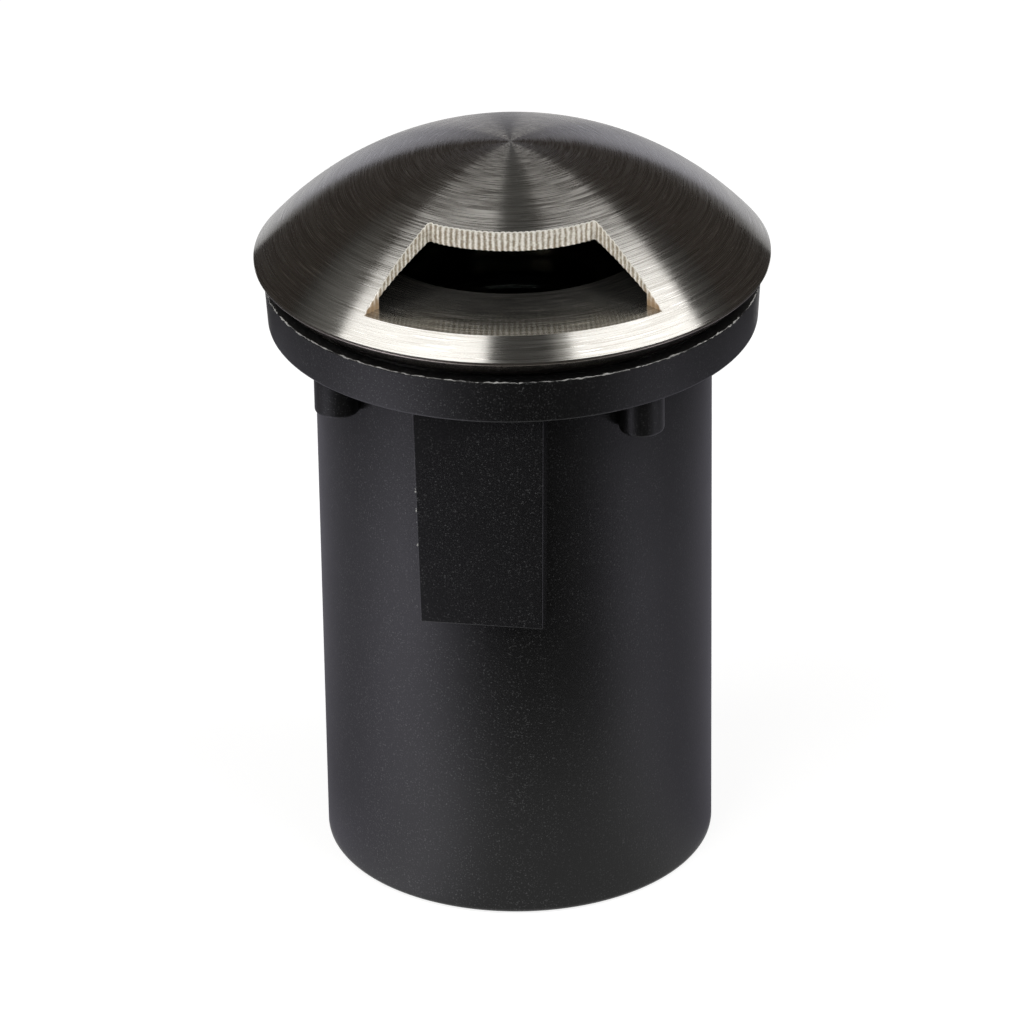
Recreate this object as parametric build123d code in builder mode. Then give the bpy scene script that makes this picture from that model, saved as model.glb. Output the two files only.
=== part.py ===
"""Walk-over marker light: a brushed steel dome with one window on a black ground canister.

Millimetres. Z is up from the canister's bottom edge, and the window faces -Y.
"""
import os
from math import asin, cos, degrees, radians, sin, sqrt

from build123d import *

# Rest position: how far the canister is turned from the window, about Z
SLEEVE_TURN = -9.5

# Canister tube and the bulkhead across it
SLEEVE_R = 42.5
SLEEVE_T = 2.5
SLEEVE_H = 123.5
SLEEVE_FOOT_FILLET = 1.0
WELL_DEPTH = 26.0
BULKHEAD_T = 3.0

# Collar round the canister's top
COLLAR_OVERHANG = 10.4
COLLAR_DRAFT = 0.6
COLLAR_H = 9.7
COLLAR_FLOOR_T = 3.0
COLLAR_WALL = 3.1

# Screw bosses under the collar
BOSS_R = 4.8
BOSS_DROP = 9.05
BOSS_FILLET = 0.8
BOSS_COUNT = 4

# Key blocks on the canister's sides
KEY_LENGTH = 51.1
KEY_OUT = 3.5
KEY_OUT_DRAFT = 0.6
KEY_WIDTH = 26.2
KEY_WIDTH_DRAFT = 1.6
KEY_WALL = 2.2

# Glass, its gasket and its clamp ring
GASKET_T = 1.5
LENS_T = 5.0
LENS_CHAMFER = 0.5
LENS_CLEARANCE = 0.2
LENS_LEDGE_W = 3.5
MOUTH_H = 5.0
CLAMP_WALL = 1.4
CLAMP_LIP = 4.7
CLAMP_FLANGE_T = 3.3
CLAMP_FLANGE_GAP = 0.2
CLAMP_EDGE = 3.7
RECESS_CLEARANCE = 0.3

# Clamp screws
CLAMP_SCREW_R = 1.65
CLAMP_SCREW_HEAD_R = 3.0
CLAMP_SCREW_HEAD_H = 2.2
CLAMP_SCREW_HEAD_CLEARANCE = 0.2
CLAMP_SCREW_LENGTH = 11.0
CLAMP_SCREW_CLEARANCE = 0.5
PILOT_CLEARANCE = 0.05

# Dome
RIM_OVERHANG = 2.1
RIM_LAND = 0.6
RIM_UNDERCUT = 4.0
DOME_GAP = 1.0
DOME_EDGE_H = 4.5
DOME_H = 25.2
DOME_FOOT_W = 4.8
DOME_CROWN_T = 5.8

# Window in the dome
WINDOW_R = 30.8
WINDOW_ANGLE = 84.0
WINDOW_POINT = 6.3
WINDOW_RISE = 4.3
POCKET_RISE = 2.4
FLUTE_PITCH = 1.29
FLUTE_R = 0.75
FLUTE_DEPTH = 0.15

# Floor plate under the window, and its skirt
FLOOR_T = 3.0
FLOOR_HOLE_R = 30.8
FLOOR_FIT = 0.05
SKIRT_T = 2.4
SKIRT_H = 5.6
SKIRT_CLEARANCE = 0.35

# Rubber ring between spigot and skirt
RING_SECTION_R = 1.0
RING_PROUD = 0.12
RING_CLEARANCE = 0.12
RING_SIDE_GAP = 0.3
RING_DOWN = 1.4

# Lamp
LAMP_DROP = 10.0
LAMP_LENGTH = 40.0
LAMP_RIM_R = 24.75
LAMP_FLOOR_T = 2.0
LAMP_NECK_R = 11.0
LAMP_WALL = 1.9
LAMP_CUP_DEPTH = 9.0
LAMP_LENS_T = 3.5
LAMP_LENS_SET = 1.5
LAMP_LENS_SEAT = 1.4
LAMP_LENS_FIT = 0.1
BOARD_T = 1.6
BOARD_FIT = 0.2
LED_SIZE = 3.5
LED_H = 1.2
LED_CIRCLE_R = 8.0
LED_COUNT = 4
FIN_COUNT = 16
FIN_GAP = 2.4
FIN_CORE_R = 9.0
FIN_FOOT_H = 2.0
PLUG_H = 8.0
PLUG_LENGTH = 17.0
PLUG_WIDTH = 9.5
PLUG_FLANGE_H = 4.0
PLUG_FLANGE_STEP = 0.5
PIN_R = 0.75
PIN_SPACING = 5.33
PIN_LENGTH = 7.0
PIN_SET = 3.5
PIN_CLEARANCE = 0.15

# Lampholder and its screws
LAMP_GAP = 0.2
HOLDER_WIDTH = 14.0
HOLDER_FILLET = 2.0
HOLDER_SCREW_SPACING = 15.0
HOLDER_END = 3.5
HOLDER_WEB = 0.6
SOCKET_SPARE = 0.4
SCREW_SINK = 0.5
M3_R = 1.5
M3_HEAD_R = 2.75
M3_HEAD_H = 2.0
M3_NUT_AF = 5.5
M3_NUT_H = 2.4
M3_CLEARANCE = 0.2

# Bracket under the lampholder
STRIP_T = 1.5
STRIP_WIDTH = 16.0
STRIP_BEND = 2.0
FOOT_LENGTH = 13.0
FOOT_EDGE_GAP = 5.0
FOOT_SCREW_IN = 6.0
PILLAR_R = 4.0
PILLAR_H = 5.0
PILOT_DEPTH = 6.0
PILOT_SPARE = 0.5

# Terminal block
BLOCK_X = 24.5
BLOCK_LENGTH = 14.0
BLOCK_SIDE = 5.0
BLOCK_H = 13.0
POLE_SPACING = 10.0
POLE_HEIGHT = 5.0
PAD_INSET = 1.0
TUBE_R = 2.3
TUBE_BORE_R = 1.5
TUBE_INSET = 1.0
TUBE_FIT = 0.05
TERMINAL_SCREW_R = 1.25
TERMINAL_SCREW_SPACING = 7.0
TERMINAL_SCREW_DOWN = 1.5

# Leads
LEAD_R = 1.1
LEAD_SET = 2.0
LEAD_IN = 2.0
LEAD_CLEARANCE = 0.15

# Cable gland
GLAND_THREAD_R = 8.0
GLAND_HOLE_CLEARANCE = 0.2
GLAND_FIT = 0.1
GLAND_HEX_AF = 22.0
GLAND_HEX_H = 4.0
GLAND_TOP_H = 8.0
GLAND_STUB_H = 9.0
GLAND_WALL = 1.6
GLAND_BORE_R = 4.6
GLAND_WASHER_T = 1.0
GLAND_WASHER_W = 2.5
LOCKNUT_AF = 22.0
LOCKNUT_H = 4.0
SEAL_BORE_R = 3.5
SEAL_LENGTH = 8.0
CAP_WALL = 2.8
CAP_FLOOR_T = 2.5
CAP_HOLE_R = 4.4
CAP_GAP = 0.6
CAP_END_GAP = 0.1
CAP_FILLET = 2.0

# Canister: radii and heights worked out from the sizes above
bore_r = SLEEVE_R - SLEEVE_T
bulkhead_top_z = WELL_DEPTH + BULKHEAD_T
collar_top_r = SLEEVE_R + COLLAR_OVERHANG
collar_bottom_r = collar_top_r - COLLAR_DRAFT
collar_top_z = SLEEVE_H + COLLAR_H
ledge_z = SLEEVE_H + COLLAR_FLOOR_T
recess_r = collar_top_r - COLLAR_WALL
flange_r = recess_r - RECESS_CLEARANCE
boss_circle_r = flange_r - CLAMP_EDGE
boss_bottom_z = SLEEVE_H - BOSS_DROP
key_bottom_z = SLEEVE_H - KEY_LENGTH
key_face_bottom = SLEEVE_R + KEY_OUT
key_face_top = key_face_bottom + KEY_OUT_DRAFT
key_width_top = KEY_WIDTH + KEY_WIDTH_DRAFT

# Glass and clamp ring
spigot_r = boss_circle_r - CLAMP_SCREW_HEAD_R - CLAMP_SCREW_HEAD_CLEARANCE
lens_pocket_r = spigot_r - CLAMP_WALL
lens_r = lens_pocket_r - LENS_CLEARANCE
mouth_r = lens_r - LENS_LEDGE_W
lens_bottom_z = ledge_z + GASKET_T
lens_top_z = lens_bottom_z + LENS_T
clamp_bore_r = lens_pocket_r - CLAMP_LIP
flange_bottom_z = ledge_z + CLAMP_FLANGE_GAP
flange_top_z = flange_bottom_z + CLAMP_FLANGE_T

# Dome and floor plate
dome_bottom_z = collar_top_z + DOME_GAP
rim_r = collar_top_r + RIM_OVERHANG
rim_z = dome_bottom_z + DOME_EDGE_H
undercut_r = rim_r - RIM_UNDERCUT
pocket_r = undercut_r - DOME_FOOT_W
floor_z = rim_z + WINDOW_RISE
floor_under_z = floor_z - FLOOR_T
pocket_top_z = floor_z + POCKET_RISE
sphere_r = (rim_r**2 + DOME_H**2) / (2 * DOME_H)
apex_z = rim_z + DOME_H
sphere_z = apex_z - sphere_r
dome_mid_angle = 0.5 * asin(rim_r / sphere_r)
dome_mid = (sphere_r * sin(dome_mid_angle), sphere_z + sphere_r * cos(dome_mid_angle))
inner_apex_z = apex_z - DOME_CROWN_T
inner_rise = inner_apex_z - pocket_top_z
inner_r = (pocket_r**2 + inner_rise**2) / (2 * inner_rise)
inner_z = inner_apex_z - inner_r
inner_mid = (0.5 * pocket_r, inner_z + sqrt(inner_r**2 - (0.5 * pocket_r) ** 2))

# Spigot, rubber ring and skirt
spigot_top_z = floor_under_z
ring_r = spigot_r + RING_PROUD - RING_SECTION_R
groove_r = ring_r - RING_SECTION_R - RING_CLEARANCE
groove_top_z = spigot_top_z - RING_DOWN
groove_bottom_z = groove_top_z - 2 * (RING_SECTION_R + RING_SIDE_GAP)
ring_z = (groove_top_z + groove_bottom_z) / 2
skirt_bore_r = spigot_r + SKIRT_CLEARANCE
skirt_r = skirt_bore_r + SKIRT_T

# Lamp, lampholder and bracket
lamp_front_z = lens_bottom_z - LAMP_DROP
plug_bottom_z = lamp_front_z - LAMP_LENGTH
plug_top_z = plug_bottom_z + PLUG_H
cup_floor_z = lamp_front_z - LAMP_CUP_DEPTH
lamp_rim_z = cup_floor_z - LAMP_FLOOR_T
lamp_lens_top_z = lamp_front_z - LAMP_LENS_SET
lamp_lens_bottom_z = lamp_lens_top_z - LAMP_LENS_T
lamp_lens_r = LAMP_RIM_R - LAMP_WALL
lamp_cup_r = lamp_lens_r - LAMP_LENS_SEAT
socket_depth = PIN_LENGTH + SOCKET_SPARE
holder_h = socket_depth + LEAD_SET + HOLDER_WEB
holder_length = HOLDER_SCREW_SPACING + 2 * HOLDER_END
holder_top_z = plug_bottom_z - LAMP_GAP
holder_bottom_z = holder_top_z - holder_h
web_bottom_z = holder_bottom_z - STRIP_T
pillar_top_z = bulkhead_top_z + PILLAR_H
foot_end = bore_r - FOOT_EDGE_GAP
foot_screw_y = foot_end - FOOT_SCREW_IN
foot_top_z = pillar_top_z + STRIP_T
leg_in = foot_end - FOOT_LENGTH
leg_out = leg_in + STRIP_T
bend_out = STRIP_BEND + STRIP_T

# Terminal block
block_width = POLE_SPACING + 2 * BLOCK_SIDE
block_top_z = pillar_top_z + BLOCK_H
pole_z = pillar_top_z + POLE_HEIGHT
tube_length = BLOCK_LENGTH - 2 * TUBE_INSET

# Cable gland
washer_bottom_z = WELL_DEPTH - GLAND_WASHER_T
hex_bottom_z = washer_bottom_z - GLAND_HEX_H
stub_bottom_z = hex_bottom_z - GLAND_STUB_H
gland_top_z = bulkhead_top_z + GLAND_TOP_H
gland_seat_r = GLAND_THREAD_R - GLAND_WALL
seal_bottom_z = stub_bottom_z - CAP_END_GAP
seal_top_z = seal_bottom_z + SEAL_LENGTH
cap_top_z = hex_bottom_z - CAP_GAP
cap_bottom_z = seal_bottom_z - CAP_FLOOR_T
cap_r = GLAND_THREAD_R + CAP_WALL

# The canister's own axes: its key blocks face along -Y and +Y of this plane
turned_x = (cos(radians(SLEEVE_TURN)), sin(radians(SLEEVE_TURN)), 0)
turned = Plane(origin=(0, 0, 0), x_dir=turned_x, z_dir=(0, 0, 1))

os.makedirs("parts", exist_ok=True)

# Dome cover: turned steel dome, pocketed from below and cut away for the window
half_window = radians(WINDOW_ANGLE / 2)
wall_across = WINDOW_POINT * sin(half_window)
wall_before = WINDOW_POINT * cos(half_window)
wall_in = sqrt(WINDOW_R**2 - wall_across**2) - wall_before
wall_out = sqrt((rim_r + 1) ** 2 - wall_across**2) - wall_before
back_half = degrees(asin(wall_in * sin(half_window) / WINDOW_R))
front_half = degrees(asin(wall_out * sin(half_window) / (rim_r + 1)))
back_flutes = max(1, int(radians(2 * back_half) * WINDOW_R / FLUTE_PITCH))
side_flutes = max(1, int((wall_out - wall_in) / FLUTE_PITCH))
flute_in = FLUTE_R - FLUTE_DEPTH
side_points = []
for side in (-1, 1):
    for index in range(side_flutes):
        along = wall_in + (index + 0.5) * FLUTE_PITCH
        flute_x = side * (along * sin(half_window) - flute_in * cos(half_window))
        flute_y = -WINDOW_POINT - along * cos(half_window) - flute_in * sin(half_window)
        side_points.append((flute_x, flute_y))

with BuildPart() as dome_cover:
    with BuildSketch(Plane.XZ):
        with BuildLine():
            ThreePointArc((0, apex_z), dome_mid, (rim_r, rim_z))
            Polyline(
                (rim_r, rim_z),
                (rim_r, rim_z - RIM_LAND),
                (undercut_r, dome_bottom_z),
                (pocket_r, dome_bottom_z),
                (pocket_r, pocket_top_z),
            )
            ThreePointArc((pocket_r, pocket_top_z), inner_mid, (0, inner_apex_z))
            Line((0, inner_apex_z), (0, apex_z))
        make_face()
    revolve(axis=Axis.Z)
    with BuildSketch(Plane.XY.offset(floor_z)):
        with BuildLine():
            back = CenterArc((0, 0), WINDOW_R, -90 - back_half, 2 * back_half)
            front = CenterArc((0, 0), rim_r + 1, -90 - front_half, 2 * front_half)
            Line(back @ 0, front @ 0)
            Line(back @ 1, front @ 1)
        make_face()
        with PolarLocations(
            WINDOW_R + flute_in,
            back_flutes,
            start_angle=-90 - back_half + back_half / back_flutes,
            angular_range=2 * back_half,
        ):
            Circle(FLUTE_R)
        with Locations(*side_points):
            Circle(FLUTE_R)
    extrude(amount=DOME_H, mode=Mode.SUBTRACT)
dome_cover.part.label = "dome_cover"

# Floor plate: ring pressed into the dome's pocket, with a skirt over the spigot
with BuildPart() as floor_plate:
    with BuildSketch(Plane.XZ):
        with BuildLine():
            Polyline(
                (FLOOR_HOLE_R, floor_under_z),
                (skirt_bore_r, floor_under_z),
                (skirt_bore_r, floor_under_z - SKIRT_H),
                (skirt_r, floor_under_z - SKIRT_H),
                (skirt_r, floor_under_z),
                (pocket_r - FLOOR_FIT, floor_under_z),
                (pocket_r - FLOOR_FIT, floor_z),
                (FLOOR_HOLE_R, floor_z),
                close=True,
            )
        make_face()
    revolve(axis=Axis.Z)
floor_plate.part.label = "floor_plate"

# Rubber ring in the spigot's groove
with BuildPart() as grip_ring:
    with BuildSketch(Plane.XZ):
        with Locations((ring_r, ring_z)):
            Circle(RING_SECTION_R)
    revolve(axis=Axis.Z)
grip_ring.part.label = "grip_ring"

# Canister: tube, collar, bosses and key blocks, then everything hollow
with BuildPart(turned) as sleeve:
    with BuildSketch(Plane.XZ):
        with BuildLine():
            Polyline(
                (0, 0),
                (SLEEVE_R, 0),
                (SLEEVE_R, SLEEVE_H),
                (collar_bottom_r, SLEEVE_H),
                (collar_top_r, collar_top_z),
                (0, collar_top_z),
                close=True,
            )
        make_face()
    revolve(axis=Axis.Z)
    foot = sleeve.edges().filter_by(GeomType.CIRCLE).group_by(Axis.Z)[0]
    fillet(foot, SLEEVE_FOOT_FILLET)
    for side in (-1, 1):
        with BuildSketch(turned.offset(key_bottom_z)):
            with Locations((0, side * key_face_bottom / 2)):
                Rectangle(KEY_WIDTH, key_face_bottom)
        with BuildSketch(turned.offset(ledge_z)):
            with Locations((0, side * key_face_top / 2)):
                Rectangle(key_width_top, key_face_top)
        loft()
    with BuildSketch(turned.offset(boss_bottom_z)):
        with PolarLocations(boss_circle_r, BOSS_COUNT, start_angle=45):
            Circle(BOSS_R)
    extrude(amount=ledge_z - boss_bottom_z)
    boss_edges = sleeve.edges().filter_by(GeomType.CIRCLE).filter_by_position(
        Axis.Z, boss_bottom_z - 0.01, boss_bottom_z + 0.01
    )
    fillet([edge for edge in boss_edges if abs(edge.radius - BOSS_R) < 0.01], BOSS_FILLET)
    with BuildSketch(Plane.XZ):
        with BuildLine():
            Polyline(
                (0, collar_top_z),
                (recess_r, collar_top_z),
                (recess_r, ledge_z),
                (mouth_r, ledge_z),
                (mouth_r, ledge_z - MOUTH_H),
                (bore_r, ledge_z - MOUTH_H - (bore_r - mouth_r)),
                (bore_r, bulkhead_top_z),
                (0, bulkhead_top_z),
                close=True,
            )
        make_face()
    revolve(axis=Axis.Z, mode=Mode.SUBTRACT)
    with BuildSketch(Plane.XY):
        Circle(bore_r)
    extrude(amount=WELL_DEPTH, mode=Mode.SUBTRACT)
    for side in (-1, 1):
        with BuildSketch(turned.offset(key_bottom_z + KEY_WALL)):
            with Locations((0, side * (key_face_bottom - KEY_WALL) / 2)):
                Rectangle(KEY_WIDTH - 2 * KEY_WALL, key_face_bottom - KEY_WALL)
        with BuildSketch(turned.offset(boss_bottom_z)):
            with Locations((0, side * (key_face_top - KEY_WALL) / 2)):
                Rectangle(key_width_top - 2 * KEY_WALL, key_face_top - KEY_WALL)
        loft(mode=Mode.SUBTRACT)
    with BuildSketch(turned.offset(bulkhead_top_z)):
        with Locations((0, foot_screw_y), (0, -foot_screw_y)):
            Circle(PILLAR_R)
        with Locations((BLOCK_X, 0)):
            Rectangle(BLOCK_LENGTH - 2 * PAD_INSET, block_width - 2 * PAD_INSET)
    extrude(amount=PILLAR_H)
    with BuildSketch(turned.offset(pillar_top_z)):
        with Locations((0, foot_screw_y), (0, -foot_screw_y), (BLOCK_X, 0)):
            Circle(M3_R + PILOT_CLEARANCE)
    extrude(amount=-PILOT_DEPTH, mode=Mode.SUBTRACT)
    with BuildSketch(turned.offset(ledge_z)):
        with PolarLocations(boss_circle_r, BOSS_COUNT, start_angle=45):
            Circle(CLAMP_SCREW_R + PILOT_CLEARANCE)
    extrude(amount=-(CLAMP_SCREW_LENGTH - CLAMP_FLANGE_T), mode=Mode.SUBTRACT)
    with BuildSketch(Plane.XY.offset(WELL_DEPTH)):
        Circle(GLAND_THREAD_R + GLAND_HOLE_CLEARANCE)
    extrude(amount=BULKHEAD_T, mode=Mode.SUBTRACT)
sleeve.part.label = "sleeve"

# Gasket on the canister's mouth
with BuildPart() as lens_gasket:
    with BuildSketch(Plane.XY.offset(ledge_z)):
        Circle(lens_r)
        Circle(mouth_r, mode=Mode.SUBTRACT)
    extrude(amount=GASKET_T)
lens_gasket.part.label = "lens_gasket"

# Glass on the gasket
with BuildPart() as lens:
    with BuildSketch(Plane.XY.offset(lens_bottom_z)):
        Circle(lens_r)
    extrude(amount=LENS_T)
    chamfer(lens.edges(), LENS_CHAMFER)
lens.part.label = "lens"

# Clamp ring: holds the glass down and carries the spigot
with BuildPart(turned) as clamp_ring:
    with BuildSketch(Plane.XZ):
        with BuildLine():
            Polyline(
                (lens_pocket_r, flange_bottom_z),
                (flange_r, flange_bottom_z),
                (flange_r, flange_top_z),
                (spigot_r, flange_top_z),
                (spigot_r, groove_bottom_z),
                (groove_r, groove_bottom_z),
                (groove_r, groove_top_z),
                (spigot_r, groove_top_z),
                (spigot_r, spigot_top_z),
                (clamp_bore_r, spigot_top_z),
                (clamp_bore_r, lens_top_z),
                (lens_pocket_r, lens_top_z),
                close=True,
            )
        make_face()
    revolve(axis=Axis.Z)
    with BuildSketch(turned.offset(flange_bottom_z)):
        with PolarLocations(boss_circle_r, BOSS_COUNT, start_angle=45):
            Circle(CLAMP_SCREW_R + CLAMP_SCREW_CLEARANCE)
    extrude(amount=CLAMP_FLANGE_T, mode=Mode.SUBTRACT)
clamp_ring.part.label = "clamp_ring"

# Clamp screws: pan heads on the flange, driven into the bosses
with BuildPart(turned) as clamp_screws:
    with BuildSketch(turned.offset(flange_top_z)):
        with PolarLocations(boss_circle_r, BOSS_COUNT, start_angle=45):
            Circle(CLAMP_SCREW_HEAD_R)
    extrude(amount=CLAMP_SCREW_HEAD_H)
    with BuildSketch(turned.offset(flange_top_z)):
        with PolarLocations(boss_circle_r, BOSS_COUNT, start_angle=45):
            Circle(CLAMP_SCREW_R)
    extrude(amount=-CLAMP_SCREW_LENGTH)
clamp_screws.part.label = "clamp_screws"

# Lamp housing: cup for the board and lens, with fins cut between cup and neck
with BuildPart(turned) as lamp_housing:
    with BuildSketch(Plane.XZ):
        with BuildLine():
            Polyline(
                (0, plug_top_z),
                (LAMP_NECK_R, plug_top_z),
                (LAMP_RIM_R - 1, lamp_rim_z),
                (LAMP_RIM_R, lamp_rim_z),
                (LAMP_RIM_R, lamp_front_z),
                (lamp_lens_r, lamp_front_z),
                (lamp_lens_r, lamp_lens_bottom_z),
                (lamp_cup_r, lamp_lens_bottom_z),
                (lamp_cup_r, cup_floor_z),
                (0, cup_floor_z),
                close=True,
            )
        make_face()
    revolve(axis=Axis.Z)
    with BuildSketch(turned.offset(plug_top_z + FIN_FOOT_H)):
        with PolarLocations(FIN_CORE_R + LAMP_RIM_R / 2, FIN_COUNT):
            Rectangle(LAMP_RIM_R, FIN_GAP)
    extrude(amount=lamp_rim_z - plug_top_z - FIN_FOOT_H, mode=Mode.SUBTRACT)
lamp_housing.part.label = "lamp_housing"

# Lamp circuit board
with BuildPart() as lamp_board:
    with BuildSketch(Plane.XY.offset(cup_floor_z)):
        Circle(lamp_cup_r - BOARD_FIT)
    extrude(amount=BOARD_T)
lamp_board.part.label = "lamp_board"

# Light-emitting chips on the board
with BuildPart(turned) as lamp_leds:
    with BuildSketch(turned.offset(cup_floor_z + BOARD_T)):
        with PolarLocations(LED_CIRCLE_R, LED_COUNT):
            Rectangle(LED_SIZE, LED_SIZE)
    extrude(amount=LED_H)
lamp_leds.part.label = "lamp_leds"

# Lamp front lens on its step
with BuildPart() as lamp_lens:
    with BuildSketch(Plane.XY.offset(lamp_lens_bottom_z)):
        Circle(lamp_lens_r - LAMP_LENS_FIT)
    extrude(amount=LAMP_LENS_T)
lamp_lens.part.label = "lamp_lens"

# Lamp plug: flange under the housing and the two-pin block
with BuildPart(turned) as lamp_base:
    with BuildSketch(turned.offset(plug_top_z - PLUG_FLANGE_H)):
        Circle(LAMP_NECK_R - PLUG_FLANGE_STEP)
    extrude(amount=PLUG_FLANGE_H)
    with BuildSketch(turned.offset(plug_bottom_z)):
        RectangleRounded(PLUG_LENGTH, PLUG_WIDTH, PLUG_WIDTH / 4)
    extrude(amount=PLUG_H - PLUG_FLANGE_H)
    with BuildSketch(turned.offset(plug_bottom_z)):
        with Locations((PIN_SPACING / 2, 0), (-PIN_SPACING / 2, 0)):
            Circle(PIN_R)
    extrude(amount=PIN_SET, mode=Mode.SUBTRACT)
lamp_base.part.label = "lamp_base"

# Lamp pins
with BuildPart(turned) as lamp_pins:
    with BuildSketch(turned.offset(plug_bottom_z - PIN_LENGTH)):
        with Locations((PIN_SPACING / 2, 0), (-PIN_SPACING / 2, 0)):
            Circle(PIN_R)
    extrude(amount=PIN_LENGTH + PIN_SET)
lamp_pins.part.label = "lamp_pins"

# Lampholder: ceramic block with pin sockets, lead holes and two screw holes
with BuildPart(turned) as lampholder:
    with BuildSketch(turned.offset(holder_bottom_z)):
        RectangleRounded(holder_length, HOLDER_WIDTH, HOLDER_FILLET)
        with Locations((HOLDER_SCREW_SPACING / 2, 0), (-HOLDER_SCREW_SPACING / 2, 0)):
            Circle(M3_R + M3_CLEARANCE, mode=Mode.SUBTRACT)
    extrude(amount=holder_h)
    with BuildSketch(turned.offset(holder_top_z)):
        with Locations((HOLDER_SCREW_SPACING / 2, 0), (-HOLDER_SCREW_SPACING / 2, 0)):
            Circle(M3_HEAD_R + M3_CLEARANCE)
    extrude(amount=-M3_HEAD_H - SCREW_SINK, mode=Mode.SUBTRACT)
    with BuildSketch(turned.offset(holder_top_z)):
        with Locations((PIN_SPACING / 2, 0), (-PIN_SPACING / 2, 0)):
            Circle(PIN_R + PIN_CLEARANCE)
    extrude(amount=-socket_depth, mode=Mode.SUBTRACT)
    with BuildSketch(turned.offset(holder_bottom_z)):
        with Locations((PIN_SPACING / 2, 0), (-PIN_SPACING / 2, 0)):
            Circle(LEAD_R + LEAD_CLEARANCE)
    extrude(amount=LEAD_SET, mode=Mode.SUBTRACT)
lampholder.part.label = "lampholder"

# Holder screws, heads sunk in the ceramic
with BuildPart(turned) as holder_screws:
    with BuildSketch(turned.offset(holder_top_z - SCREW_SINK)):
        with Locations((HOLDER_SCREW_SPACING / 2, 0), (-HOLDER_SCREW_SPACING / 2, 0)):
            Circle(M3_HEAD_R)
    extrude(amount=-M3_HEAD_H)
    with BuildSketch(turned.offset(holder_top_z - SCREW_SINK - M3_HEAD_H)):
        with Locations((HOLDER_SCREW_SPACING / 2, 0), (-HOLDER_SCREW_SPACING / 2, 0)):
            Circle(M3_R)
    extrude(amount=-(holder_h + STRIP_T + M3_NUT_H - M3_HEAD_H))
holder_screws.part.label = "holder_screws"

# Holder nuts under the bracket
with BuildPart(turned) as holder_nuts:
    with BuildSketch(turned.offset(web_bottom_z)):
        with Locations((HOLDER_SCREW_SPACING / 2, 0), (-HOLDER_SCREW_SPACING / 2, 0)):
            RegularPolygon(M3_NUT_AF / 2, 6, major_radius=False)
            Circle(M3_R + PILOT_CLEARANCE, mode=Mode.SUBTRACT)
    extrude(amount=-M3_NUT_H)
holder_nuts.part.label = "holder_nuts"

# Bracket: bent strip standing on the bulkhead's pillars
bracket_plane = Plane(origin=turned.origin, x_dir=turned.y_dir, z_dir=turned.x_dir)
web_half = max(STRIP_WIDTH, holder_length) / 2
with BuildPart(turned) as holder_bracket:
    with BuildSketch(bracket_plane):
        with BuildLine():
            FilletPolyline(
                (-foot_end, pillar_top_z),
                (-leg_in, pillar_top_z),
                (-leg_in, web_bottom_z),
                (leg_in, web_bottom_z),
                (leg_in, pillar_top_z),
                (foot_end, pillar_top_z),
                (foot_end, foot_top_z),
                (leg_out, foot_top_z),
                (leg_out, holder_bottom_z),
                (-leg_out, holder_bottom_z),
                (-leg_out, foot_top_z),
                (-foot_end, foot_top_z),
                radius=(
                    [0, bend_out, STRIP_BEND, STRIP_BEND, bend_out, 0]
                    + [0, STRIP_BEND, bend_out, bend_out, STRIP_BEND, 0]
                ),
                close=True,
            )
        make_face()
    extrude(amount=STRIP_WIDTH / 2, both=True)
    with BuildSketch(turned.offset(web_bottom_z)):
        Rectangle(2 * web_half, HOLDER_WIDTH)
        with Locations((HOLDER_SCREW_SPACING / 2, 0), (-HOLDER_SCREW_SPACING / 2, 0)):
            Circle(M3_R + M3_CLEARANCE, mode=Mode.SUBTRACT)
    extrude(amount=STRIP_T)
    with BuildSketch(turned.offset(web_bottom_z)):
        with Locations((HOLDER_SCREW_SPACING / 2, 0), (-HOLDER_SCREW_SPACING / 2, 0)):
            Circle(M3_R + M3_CLEARANCE)
        with Locations((PIN_SPACING / 2, 0), (-PIN_SPACING / 2, 0)):
            Circle(LEAD_R + LEAD_CLEARANCE)
    extrude(amount=STRIP_T, mode=Mode.SUBTRACT)
    with BuildSketch(turned.offset(pillar_top_z)):
        with Locations((0, foot_screw_y), (0, -foot_screw_y)):
            Circle(M3_R + M3_CLEARANCE)
    extrude(amount=STRIP_T, mode=Mode.SUBTRACT)
holder_bracket.part.label = "holder_bracket"

# Bracket screws into the pillars
with BuildPart(turned) as bracket_screws:
    with BuildSketch(turned.offset(pillar_top_z + STRIP_T)):
        with Locations((0, foot_screw_y), (0, -foot_screw_y)):
            Circle(M3_HEAD_R)
    extrude(amount=M3_HEAD_H)
    with BuildSketch(turned.offset(pillar_top_z + STRIP_T)):
        with Locations((0, foot_screw_y), (0, -foot_screw_y)):
            Circle(M3_R)
    extrude(amount=-(STRIP_T + PILOT_DEPTH - PILOT_SPARE))
bracket_screws.part.label = "bracket_screws"

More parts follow.
